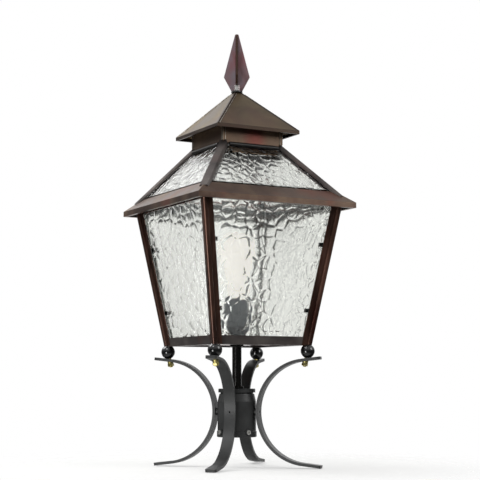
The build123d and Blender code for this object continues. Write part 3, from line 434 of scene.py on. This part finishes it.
def marked(material, mask, colour):
    """Lays a mark of this colour over a material's own, as strong as the mask says."""
    tree = material.node_tree
    colour_input = tree.nodes["Principled BSDF"].inputs["Base Color"]
    laid = add_node(tree, "ShaderNodeMix",
                    {0: mask, 6: colour_input.links[0].from_socket, 7: linear(colour)}, data_type="RGBA")
    tree.links.new(laid.outputs[2], colour_input)


def inside_painted_light(material, colour, within=1.0):
    """Paints faces that turn towards the lantern's axis one flat grey, as painted light and shade: the grey
    sets how light these faces look through the glass. They lie within this distance of the axis, measured
    at the height of the post's foot, and 1 m takes in the whole lantern."""
    inward_limit = -0.001
    tree = material.node_tree
    outputs = tree.nodes["Texture Coordinate"].outputs
    level = add_node(tree, "ShaderNodeVectorMath", {0: outputs["Object"], 1: (1, 1, 0)},
                     operation="MULTIPLY")
    outward = add_node(tree, "ShaderNodeVectorMath", {0: level.outputs[0], 1: outputs["Normal"]},
                       operation="DOT_PRODUCT")
    inward = add_node(tree, "ShaderNodeMath", {0: outward.outputs["Value"], 1: inward_limit},
                      operation="LESS_THAN")
    positive = add_node(tree, "ShaderNodeVectorMath", {0: outputs["Object"]}, operation="ABSOLUTE")
    axes = add_node(tree, "ShaderNodeSeparateXYZ", {0: positive.outputs[0]})
    reach = add_node(tree, "ShaderNodeMath", {0: axes.outputs["X"], 1: axes.outputs["Y"]},
                     operation="MAXIMUM")
    leaned = add_node(tree, "ShaderNodeMath",
                      {0: axes.outputs["Z"], 1: -post_lean / math.sqrt(2), 2: reach.outputs[0]},
                      operation="MULTIPLY_ADD")
    near = add_node(tree, "ShaderNodeMath", {0: leaned.outputs[0], 1: within}, operation="LESS_THAN")
    # faces towards the axis get the painted light and shade grey
    inside = add_node(tree, "ShaderNodeMath", {0: inward.outputs[0], 1: near.outputs[0]},
                      operation="MULTIPLY")
    marked(material, inside.outputs[0], colour)


post_inside = 0.083
dark_bronze = toned_sheet("dark_bronze_tone_on_brass",
                          [(0.3, "#33241f"), (0.5, "#523b32"), (0.7, "#755548")],
                          blush="#652e26", blush_share=0.5, patch=34, shine=0.28, stretch=(1.0, 1.0, 0.12))
# painted light: posts, rails, crossbar and floor plate get a light grey on faces towards the axis, so they
# look lit through the glass
inside_painted_light(dark_bronze, "#8d8f8f", post_inside)
coat(dark_bronze, "floor_plate", "crossbar", *[f"corner_post_{n}" for n in quarters],
     *[f"top_rail_{n}" for n in quarters])

# ---- bottom rails: the same angle, toned a little greyer ----
rail_bronze = toned_sheet("grey_bronze_tone_on_brass",
                          [(0.3, "#4b4644"), (0.5, "#605a58"), (0.7, "#746d69")],
                          blush="#6a4c44", blush_share=0.35, patch=50, shine=0.4)
coat(rail_bronze, *[f"bottom_rail_{n}" for n in quarters])

# ======================= glass =======================
# Clear cathedral glass, rolled on its outer face with irregular hammered hollows that narrow
# ridges part. Four panes stand in the body behind its angles, and four slope in the roof.
hammered_glass, tree, place, shader = new_material("clear_hammered_glass")
# soda lime glass: clear, faintly green grey, softly smeared where the roller left it matt
shader.inputs["Base Color"].default_value = linear("#f2f3f0")
shader.inputs["Transmission Weight"].default_value = 1.0
shader.inputs["IOR"].default_value = 1.5
ripple = add_node(tree, "ShaderNodeTexNoise", {"Vector": place, "Scale": per_size(6), "Detail": 2.0})
ripple_bump = add_node(tree, "ShaderNodeBump",
                       {"Height": ripple.outputs[0], "Strength": 0.1, "Distance": 0.0006})
tree.links.new(ripple_bump.outputs[0], shader.inputs["Normal"])
smear = add_node(tree, "ShaderNodeMapRange", {"Value": ripple.outputs[0], "To Min": 0.05, "To Max": 0.16})
tree.links.new(smear.outputs[0], shader.inputs["Roughness"])


def new_shape_tree(name, sizes):
    """An empty geometry tree with these named number inputs, and what it is given."""
    tree = bpy.data.node_groups.new(name, "GeometryNodeTree")
    tree.interface.new_socket("Geometry", in_out="INPUT", socket_type="NodeSocketGeometry")
    for size in sizes:
        tree.interface.new_socket(size, in_out="INPUT", socket_type="NodeSocketFloat")
    tree.interface.new_socket("Geometry", in_out="OUTPUT", socket_type="NodeSocketGeometry")
    return tree, add_node(tree, "NodeGroupInput").outputs


def end_tree(tree, geometry, material):
    """Ends a tree in Realize Instances and Set Material."""
    real = add_node(tree, "GeometryNodeRealizeInstances", {0: geometry})
    painted = add_node(tree, "GeometryNodeSetMaterial", {"Geometry": real.outputs[0], "Material": material})
    add_node(tree, "NodeGroupOutput", {0: painted.outputs[0]})


def grown_mesh(tree, base, sizes):
    """Runs a tree on a base mesh with these sizes, and gives the result as a plain mesh."""
    grower = bpy.data.objects.new("grower", base)
    modifier = grower.modifiers.new("shape", "NODES")
    modifier.node_group = tree
    for item in tree.interface.items_tree:
        if item.in_out == "INPUT" and item.name in sizes:
            modifier[item.identifier] = float(sizes[item.name])
    scene.collection.objects.link(grower)
    graph = bpy.context.evaluated_depsgraph_get()
    mesh = bpy.data.meshes.new_from_object(grower.evaluated_get(graph))
    bpy.data.objects.remove(grower)
    return mesh


# widths are shares of a cell, and heights are shares of the hollows' depth
wobble_share = (0.4, 0.4, 0.4)
wobble_scale = 0.8
bowl_edge = 0.6
ridge_width = 0.17
ridge_height = 0.42
hammer_tree, given = new_shape_tree("hammered_hollows", ["Cell", "Depth", "Seed"])
spot = add_node(hammer_tree, "GeometryNodeInputPosition")
shift = add_node(hammer_tree, "ShaderNodeCombineXYZ", {0: given["Seed"], 1: given["Seed"], 2: given["Seed"]})
spread = add_node(hammer_tree, "ShaderNodeVectorMath", {0: spot.outputs[0], 1: given["Cell"]},
                  operation="DIVIDE")
moved = add_node(hammer_tree, "ShaderNodeVectorMath", {0: spread.outputs[0], 1: shift.outputs[0]},
                 operation="ADD")
wobble = add_node(hammer_tree, "ShaderNodeTexNoise",
                  {"Vector": moved.outputs[0], "Scale": wobble_scale, "Detail": 1.0})
bent = add_node(hammer_tree, "ShaderNodeVectorMath",
                {0: wobble.outputs["Color"], 1: wobble_share, 2: moved.outputs[0]},
                operation="MULTIPLY_ADD")
# each hollow is a round bowl, and a narrow ridge runs along the edge between two of them
cells = add_node(hammer_tree, "ShaderNodeTexVoronoi", {"Vector": bent.outputs[0], "Scale": 1.0},
                 feature="F1")
square = add_node(hammer_tree, "ShaderNodeMath", {0: cells.outputs["Distance"], 1: 2.0},
                  operation="POWER")
bowl = add_node(hammer_tree, "ShaderNodeMapRange",
                {"Value": square.outputs[0], "From Min": 0.0, "From Max": 0.5,
                 "To Min": 1.0, "To Max": bowl_edge})
borders = add_node(hammer_tree, "ShaderNodeTexVoronoi", {"Vector": bent.outputs[0], "Scale": 1.0},
                   feature="DISTANCE_TO_EDGE")
ridge = add_node(hammer_tree, "ShaderNodeMapRange",
                 {"Value": borders.outputs["Distance"], "From Min": 0.0, "From Max": ridge_width,
                  "To Min": ridge_height, "To Max": 0.0},
                 interpolation_type="SMOOTHSTEP")
hollow = add_node(hammer_tree, "ShaderNodeMath", {0: bowl.outputs[0], 1: ridge.outputs[0]},
                  operation="SUBTRACT")
ease = add_node(hammer_tree, "GeometryNodeInputNamedAttribute", {"Name": "ease"}, data_type="FLOAT")
eased = add_node(hammer_tree, "ShaderNodeMath", {0: hollow.outputs[0], 1: ease.outputs[0]},
                 operation="MULTIPLY")
depth = add_node(hammer_tree, "ShaderNodeMath", {0: eased.outputs[0], 1: given["Depth"]},
                 operation="MULTIPLY")
inward = add_node(hammer_tree, "ShaderNodeMath", {0: depth.outputs[0], 1: -1.0}, operation="MULTIPLY")
facing = add_node(hammer_tree, "GeometryNodeInputNormal")
dent = add_node(hammer_tree, "ShaderNodeVectorMath", {0: facing.outputs[0], "Scale": inward.outputs[0]},
                operation="SCALE")
dented = add_node(hammer_tree, "GeometryNodeSetPosition",
                  {"Geometry": given["Geometry"], "Offset": dent.outputs[0]})
end_tree(hammer_tree, dented.outputs[0], hammered_glass)

pane_step = 0.0016
pane_rim = 0.006
corner_slack = 0.0005


def pane_corners(node, outward, right):
    """Outer and inner corners of a CAD pane, each as low left, low right, high right, high left."""
    points = [vert.co.copy() for vert in nodes[node].data.vertices]
    faces = []
    for side in (1, -1):
        reach = max(side * c.dot(outward) for c in points)
        face = [c for c in points if side * c.dot(outward) > reach - corner_slack]
        low_edge = [c for c in face if c.z < min(p.z for p in face) + corner_slack]
        high_edge = [c for c in face if c.z > max(p.z for p in face) - corner_slack]
        low_edge.sort(key=lambda c: c.dot(right))
        high_edge.sort(key=lambda c: c.dot(right))
        faces.append((low_edge[0], low_edge[-1], high_edge[-1], high_edge[0]))
    return faces


def hammered_pane(node, body, number, outward, seed, cell, depth):
    """A closed pane in the place of a CAD pane, with hollows in its outer face."""
    turn = Matrix.Rotation(math.radians(90 * (number - 1)), 3, "Z")
    outer, inner = pane_corners(node, turn @ outward, turn @ Vector((1, 0, 0)))
    wide = (outer[1] - outer[0]).length
    tall = (outer[3] - outer[0]).length
    columns, rows = max(4, round(wide / pane_step)), max(4, round(tall / pane_step))
    bm = bmesh.new()
    ease_layer = bm.verts.layers.float.new("ease")
    grid = []
    for j in range(rows + 1):
        v = j / rows
        left, right = outer[0].lerp(outer[3], v), outer[1].lerp(outer[2], v)
        span = (right - left).length
        line = []
        for i in range(columns + 1):
            u = i / columns
            vert = bm.verts.new(left.lerp(right, u))
            edge = min(1.0, min(u * span, (1 - u) * span, v * tall, (1 - v) * tall) / pane_rim)
            vert[ease_layer] = edge * edge * (3 - 2 * edge)
            line.append(vert)
        grid.append(line)
    for j in range(rows):
        for i in range(columns):
            bm.faces.new((grid[j][i], grid[j][i + 1], grid[j + 1][i + 1], grid[j + 1][i]))
    # the flat inner face is one face on the same rim, edge by edge round the pane
    rim = [*grid[0], *[line[-1] for line in grid[1:]], *grid[-1][-2::-1],
           *[line[0] for line in grid[-2:0:-1]]]
    back = []
    for corner, steps in enumerate((columns, rows, columns, rows)):
        start, end = inner[corner], inner[(corner + 1) % 4]
        back += [bm.verts.new(start.lerp(end, step / steps)) for step in range(steps)]
    skin(bm, [rim, back])
    bm.faces.new(back)
    bmesh.ops.recalc_face_normals(bm, faces=bm.faces[:])
    blank = mesh_from(bm, node + "_blank")
    mesh = grown_mesh(hammer_tree, blank, {"Cell": cell, "Depth": depth, "Seed": seed})
    piece = plain_object(f"hammered_{node}", smoothed(mesh, 60), hammered_glass, body)
    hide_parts(node)


face_lean = post_lean / math.sqrt(2)
body_pane_out = Vector((0, -1, -face_lean)).normalized()
roof_rise = 0.106
roof_run = 0.087186
roof_pane_out = Vector((0, -roof_rise, roof_run)).normalized()
for number in quarters:
    hammered_pane(f"body_glass_{number}", "lantern_body", number, body_pane_out,
                  seed=number * 7.3, cell=0.026, depth=0.0018)
    hammered_pane(f"roof_glass_{number}", "roof", number, roof_pane_out,
                  seed=number * 5.1 + 40, cell=0.020, depth=0.0019)

# ======================= tie rod =======================
# A zinc plated rod stands on the crossbar between two nuts and runs up to the finial, which
# holds roof and cap down.
zinc, tree, place, shader = new_material("bright_zinc_plate")
# zinc plate: bright and slightly cloudy
shader.inputs["Metallic"].default_value = 1.0
cloud, cloud_colour = mottled(tree, place, 6, 4.0, [(0.3, "#dddcd9"), (0.7, "#f6f5f2")])
tree.links.new(cloud_colour, shader.inputs["Base Color"])
zinc_gloss = add_node(tree, "ShaderNodeMapRange", {"Value": cloud, "To Min": 0.34, "To Max": 0.5})
tree.links.new(zinc_gloss.outputs[0], shader.inputs["Roughness"])


def threaded(name, material, body, node, outline, depth, pitch, steps):
    """A turned piece from (radius, height) points, threaded wherever it stands at its full radius."""
    crest = max(reach for reach, z in outline)
    bm = bmesh.new()
    rings = []
    for reach, z in outline:
        cut = depth if reach == crest else 0.0
        grooves = [cut * (1 - math.cos(math.tau * z / pitch - math.tau * step / steps)) / 2
                   for step in range(steps)]
        rings.append(turned_ring(bm, Matrix(), z, [reach - groove for groove in grooves]))
    skin(bm, rings)
    bm.faces.new(rings[0][::-1])
    bm.faces.new(rings[-1])
    bmesh.ops.recalc_face_normals(bm, faces=bm.faces[:])
    piece = plain_object(name, smoothed(mesh_from(bm, name), 40), material, body)
    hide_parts(node)


rod_radius = 0.004
rod_pitch = 0.00125
rod_depth = 0.0007
rod_end = 0.0008
rows_per_turn = 7
rod_foot, rod_head = (corner.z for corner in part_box("tie_rod"))
rod_length = rod_head - rod_foot
rod_rows = round(rod_length / rod_pitch * rows_per_turn)
rod_outline = [(rod_radius - rod_end, rod_foot)]
for row in range(rod_rows + 1):
    rod_outline.append((rod_radius, rod_foot + rod_end + (rod_length - rod_end * 2) * row / rod_rows))
rod_outline.append((rod_radius - rod_end, rod_head))
threaded("threaded_tie_rod", zinc, "lantern_body", "tie_rod",
         outline=rod_outline, depth=rod_depth, pitch=rod_pitch, steps=20)
nut_flats = 0.013
tie_nut_thickness = 0.0065
bar_low, bar_top = (corner.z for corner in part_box("crossbar"))
nuts("chamfered_tie_nuts", zinc, "lantern_body", "tie_nuts",
     flats=nut_flats, thickness=tie_nut_thickness, bore=stud_bore,
     places=[Matrix.Translation((0, 0, z)) for z in (bar_low - tie_nut_thickness, bar_top)])

# ======================= eaves, hip bars, chimney and cap =======================
# Copper sheet folded, soldered at its corners and toned brown. The tone is uneven, with olive
# patches and dark red smudges where the heat and the acid stood longer.
eave_copper = toned_sheet("red_brown_tone_on_copper",
                          [(0.3, "#4a3931"), (0.5, "#624f44"), (0.7, "#766353")],
                          blush="#80493a", blush_share=0.5, patch=60, shine=0.36)
# painted light: the eaves get a mid grey on faces towards the axis, so they look lit through the glass
inside_painted_light(eave_copper, "#595c5c")
coat(eave_copper, "cap_straps", *[f"eave_panel_{n}" for n in quarters])
# the hip bars took the tone greyer than the sheet did, as the bottom rails did
coat(rail_bronze, *[f"hip_bar_{n}" for n in quarters])

# ---- painted shade: the cap is painted darker along its soldered hips and on its folded skirt ----
cap_low, cap_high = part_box("vent_cap")
cap_skirt = 0.0072
cap_eave = cap_low.z + cap_skirt
painted_shade_share = 0.8
hip_shade_full = 0.005
hip_shade_clear = 0.009
skirt_shade_fade = 0.002
cap_copper = toned_sheet("olive_brown_tone_on_copper",
                         [(0.3, "#4f422f"), (0.48, "#62543f"), (0.6, "#71634a"), (0.75, "#81755a")],
                         blush="#5f3d3b", blush_share=0.35, patch=85, shine=0.4)
tree = cap_copper.node_tree
place = tree.nodes["Texture Coordinate"].outputs["Object"]
spot = add_node(tree, "ShaderNodeSeparateXYZ", {0: place})
side = add_node(tree, "ShaderNodeMath", {0: spot.outputs["X"]}, operation="ABSOLUTE")
front = add_node(tree, "ShaderNodeMath", {0: spot.outputs["Y"]}, operation="ABSOLUTE")
past_hip = add_node(tree, "ShaderNodeMath", {0: side.outputs[0], 1: front.outputs[0]},
                    operation="SUBTRACT")
off_hip = add_node(tree, "ShaderNodeMath", {0: past_hip.outputs[0]}, operation="ABSOLUTE")
hip_painted_shade = add_node(tree, "ShaderNodeMapRange",
                    {"Value": off_hip.outputs[0], "From Min": hip_shade_full, "From Max": hip_shade_clear,
                     "To Min": painted_shade_share, "To Max": 0.0},
                    interpolation_type="SMOOTHSTEP")
skirt_painted_shade = add_node(tree, "ShaderNodeMapRange",
                      {"Value": spot.outputs["Z"], "From Min": cap_eave, "From Max": cap_eave + skirt_shade_fade,
                       "To Min": painted_shade_share, "To Max": 0.0},
                      interpolation_type="SMOOTHSTEP")
painted_shade_marks = add_node(tree, "ShaderNodeMath", {0: hip_painted_shade.outputs[0], 1: skirt_painted_shade.outputs[0]},
                      operation="MAXIMUM")
# painted shade: hips and skirt are darkened to a near black brown
marked(cap_copper, painted_shade_marks.outputs[0], "#2c1f1c")
coat(cap_copper, "vent_cap")

# ---- the chimney's tone has a dark red smudge on its front, where the acid stood longest ----
smudge_place = (0.006, -0.076, 0.668)
smudge_core = 0.005
smudge_edge = 0.040
smudge_share = 0.6
chimney_copper = toned_sheet("smudged_brown_tone_on_copper",
                             [(0.3, "#4a3c31"), (0.5, "#5e4d3f"), (0.7, "#786350")],
                             blush="#5f3d3b", blush_share=0.3, patch=60, shine=0.4)
tree = chimney_copper.node_tree
place = tree.nodes["Texture Coordinate"].outputs["Object"]
off_smudge = add_node(tree, "ShaderNodeVectorMath", {0: place, 1: smudge_place}, operation="DISTANCE")
smudge = add_node(tree, "ShaderNodeMapRange",
                  {"Value": off_smudge.outputs["Value"], "From Min": smudge_core, "From Max": smudge_edge,
                   "To Min": smudge_share, "To Max": 0.0},
                  interpolation_type="SMOOTHSTEP")
marked(chimney_copper, smudge.outputs[0], "#6e302a")
# painted shade: the chimney gets a dark grey on faces towards the axis, for how dark it looks through the
# roof glass
inside_painted_light(chimney_copper, "#3c3c3b")
coat(chimney_copper, "chimney")

# ---- painted highlight: a thin pale solder bead stands along each lapped seam of cap and chimney, as the bright line along each fold ----
solder_and_painted_highlight, tree, place, shader = new_material("weathered_tin_solder")
# tin solder: pale grey, dulled in short lengths where the toner caught it
shader.inputs["Metallic"].default_value = 1.0
dulled, dulled_colour = mottled(tree, place, 14, 3.0, [(0.35, "#8d8376"), (0.6, "#cdc7ba")])
tree.links.new(dulled_colour, shader.inputs["Base Color"])
shader.inputs["Roughness"].default_value = 0.38

bead_tree, given = new_shape_tree("bead_along_path", ["Radius"])
path = add_node(bead_tree, "GeometryNodeMeshToCurve", {"Mesh": given["Geometry"]})
ring = add_node(bead_tree, "GeometryNodeCurvePrimitiveCircle", {"Resolution": 10, "Radius": given["Radius"]})
bead = add_node(bead_tree, "GeometryNodeCurveToMesh",
                {"Curve": path.outputs[0], "Profile Curve": ring.outputs[0], "Fill Caps": True})
end_tree(bead_tree, bead.outputs[0], solder_and_painted_highlight)


def beads(name, material, body, runs, radius):
    """Round beads along straight runs, each run a start and an end."""
    bm = bmesh.new()
    for start, end in runs:
        bm.edges.new((bm.verts.new(start), bm.verts.new(end)))
    mesh = grown_mesh(bead_tree, mesh_from(bm, name + "_runs"), {"Radius": radius})
    piece = plain_object(name, smoothed(mesh, 60), material, body)


cap_half = 0.1047
cap_top_half = 0.008
cap_seam = 0.0055
cap_slope = (cap_high.z - cap_eave) / (cap_half - cap_top_half)
chimney_face = 0.0763
chimney_seam = 0.0700
chimney_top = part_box("chimney")[1].z
seam_run = 0.046
solder_stand = 0.0005
seam_runs = []
for n in range(4):
    turn = Matrix.Rotation(math.radians(90 * n), 3, "Z")
    seam_head = cap_high.z - cap_seam * cap_slope + solder_stand
    seam_runs.append((
        turn @ Vector((cap_seam - cap_half, -cap_half, cap_eave + solder_stand)),
        turn @ Vector((-cap_top_half, -cap_top_half - cap_seam, seam_head)),
    ))
    for x, y in ((chimney_face, chimney_face), (chimney_seam, chimney_face), (chimney_face, chimney_seam)):
        seam_runs.append([turn @ Vector((-x, -y, z)) for z in (chimney_top - seam_run, chimney_top)])
# painted highlight: the pale solder beads also stand in for the light caught along the folded seams
beads("seam_solder", solder_and_painted_highlight, "roof", seam_runs, radius=0.0006)

# ---- painted shade: a black glazier's bead along the chimney's foot closes it against the roof's glass and stands in for the shade there ----
sealant_and_painted_shade, tree, place, shader = new_material("black_glazing_sealant")
# the bead: black rubber, tooled with a wet finger, so it is smooth with slight waves; its black is also
# painted shade
tooled, tooled_colour = mottled(tree, place, 7, 2.0, [(0.3, "#141312"), (0.7, "#23201e")])
tree.links.new(tooled_colour, shader.inputs["Base Color"])
shader.inputs["Roughness"].default_value = 0.45
tooled_bump = add_node(tree, "ShaderNodeBump", {"Height": tooled, "Strength": 0.3, "Distance": 0.0005})
tree.links.new(tooled_bump.outputs[0], shader.inputs["Normal"])
sealant_half = 0.0630
sealant_out = 0.0800
sealant_height = 0.6468
foot_runs = []
for n in range(4):
    turn = Matrix.Rotation(math.radians(90 * n), 3, "Z")
    foot_runs.append([turn @ Vector((x, -sealant_out, sealant_height))
                      for x in (-sealant_half, sealant_half)])
# painted shade: this black bead stands where the foot of the chimney is in shade
beads("chimney_foot_sealant", sealant_and_painted_shade, "roof", foot_runs, radius=0.0048)

# ======================= finial =======================
# Two kite shaped copper plates cross at the top. They are soldered to a bright hexagon nut,
# which screws down on the tie rod over a black washer.
# heated copper: mauve that turns to blue grey, with a red blush
finial_copper = toned_sheet("rainbow_tone_on_copper",
                            [(0.3, "#7a6062"), (0.5, "#93787c"), (0.7, "#8c8a93")],
                            blush="#ac5058", blush_share=0.3, patch=36, shine=0.36,
                            stretch=(1.0, 1.0, 0.6), metal=0.4)
# only the plates' cut edges slope, and the saw and the torch left those dark
cut_edge_slope = 0.04
tree = finial_copper.node_tree
facing = add_node(tree, "ShaderNodeSeparateXYZ", {0: tree.nodes["Texture Coordinate"].outputs["Normal"]})
slope = add_node(tree, "ShaderNodeMath", {0: facing.outputs["Z"]}, operation="ABSOLUTE")
edge_mark = add_node(tree, "ShaderNodeMath", {0: slope.outputs[0], 1: cut_edge_slope},
                     operation="GREATER_THAN")
marked(finial_copper, edge_mark.outputs[0], "#3f261a")
coat(finial_copper, "finial_vanes")
finial_heading = math.radians(-28.4)
finial_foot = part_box("finial_nut")[0].z

# ---- brazing: a dark fillet fills each corner where the two plates cross ----
# burnt flux: brown black and dull, redder where it ran thin
brazing = toned_sheet("burnt_brazing_flux", [(0.35, "#22150e"), (0.65, "#4a2c18")],
                      blush="#5a2413", blush_share=0.4, patch=12, shine=0.45, metal=0.3)
vane_half = 0.0016
fillet_foot = 0.0145
fillet_head = 0.131
fillet_runs = []
for n in range(4):
    turn = Matrix.Rotation(finial_heading + math.radians(90 * n), 3, "Z")
    corner = turn @ Vector((vane_half, vane_half, 0))
    fillet_runs.append([corner + Vector((0, 0, finial_foot + z)) for z in (fillet_foot, fillet_head)])
beads("vane_brazing", brazing, "finial", fillet_runs, radius=0.0015)
nuts("chamfered_finial_nut", zinc, "finial", "finial_nut",
     flats=nut_flats, thickness=0.0132, bore=stud_bore,
     places=[Matrix.Translation((0, 0, finial_foot)) @ Matrix.Rotation(finial_heading, 4, "Z")])

# ======================= lampholder and lamp =======================
# A moulded grey holder screwed on the conduit, and a frosted lamp with a turned aluminium
# screw base.
phenolic, tree, place, shader = new_material("grey_moulded_phenolic")
# phenolic: matt grey, faintly flecked
fleck, fleck_colour = mottled(tree, place, 3, 5.0, [(0.35, "#585d61"), (0.65, "#747a7e")])
tree.links.new(fleck_colour, shader.inputs["Base Color"])
matt = add_node(tree, "ShaderNodeMapRange", {"Value": fleck, "To Min": 0.4, "To Max": 0.6})
tree.links.new(matt.outputs[0], shader.inputs["Roughness"])
coat(phenolic, "lampholder")

# ---- the lamp's base: its screw thread is rolled into the thin metal, one turn every 6.35 mm ----
aluminium, tree, place, shader = new_material("rolled_aluminium")
# rolled aluminium: pale, with soft clouds and a clear shine on the thread's crests
shader.inputs["Metallic"].default_value = 1.0
rolled, rolled_colour = mottled(tree, place, 4, 2.0, [(0.3, "#bab7b0"), (0.7, "#d5d2ca")])
tree.links.new(rolled_colour, shader.inputs["Base Color"])
shader.inputs["Roughness"].default_value = 0.3

thread_pitch = 0.00635
thread_turns = 4
thread_crest = 0.0206
thread_height = 0.0011
thread_end = 0.0004
thread_rows = 48
contact_radius = 0.006
contact_depth = 0.0015
cone_depth = 0.003
base_foot, base_top = (corner.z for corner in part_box("lamp_base"))
thread_low = base_foot + contact_depth + cone_depth
base_outline = [(contact_radius, base_foot), (contact_radius, base_foot + contact_depth),
                (thread_crest - thread_height - cone_depth, base_foot + contact_depth)]
for row in range(thread_rows + 1):
    base_outline.append((thread_crest, thread_low + thread_pitch * thread_turns * row / thread_rows))
base_outline += [(thread_crest - thread_height, thread_low + thread_pitch * thread_turns + thread_end),
                 (thread_crest - thread_height, base_top)]
threaded("threaded_lamp_base", aluminium, "lamp", "lamp_base",
         outline=base_outline, depth=thread_height, pitch=thread_pitch, steps=48)

frosted, tree, place, shader = new_material("acid_frosted_glass")
# frosted glass: an even soft white that catches the light of the room, and glows faintly
shader.inputs["Roughness"].default_value = 0.55
frost, frost_colour = mottled(tree, place, 20, 3.0, [(0.3, "#f4f2ee"), (0.7, "#fbfaf7")])
tree.links.new(frost_colour, shader.inputs["Base Color"])
shader.inputs["Emission Color"].default_value = linear("#fff8f4")
shader.inputs["Emission Strength"].default_value = 0.45
coat(frosted, "lamp_bulb")
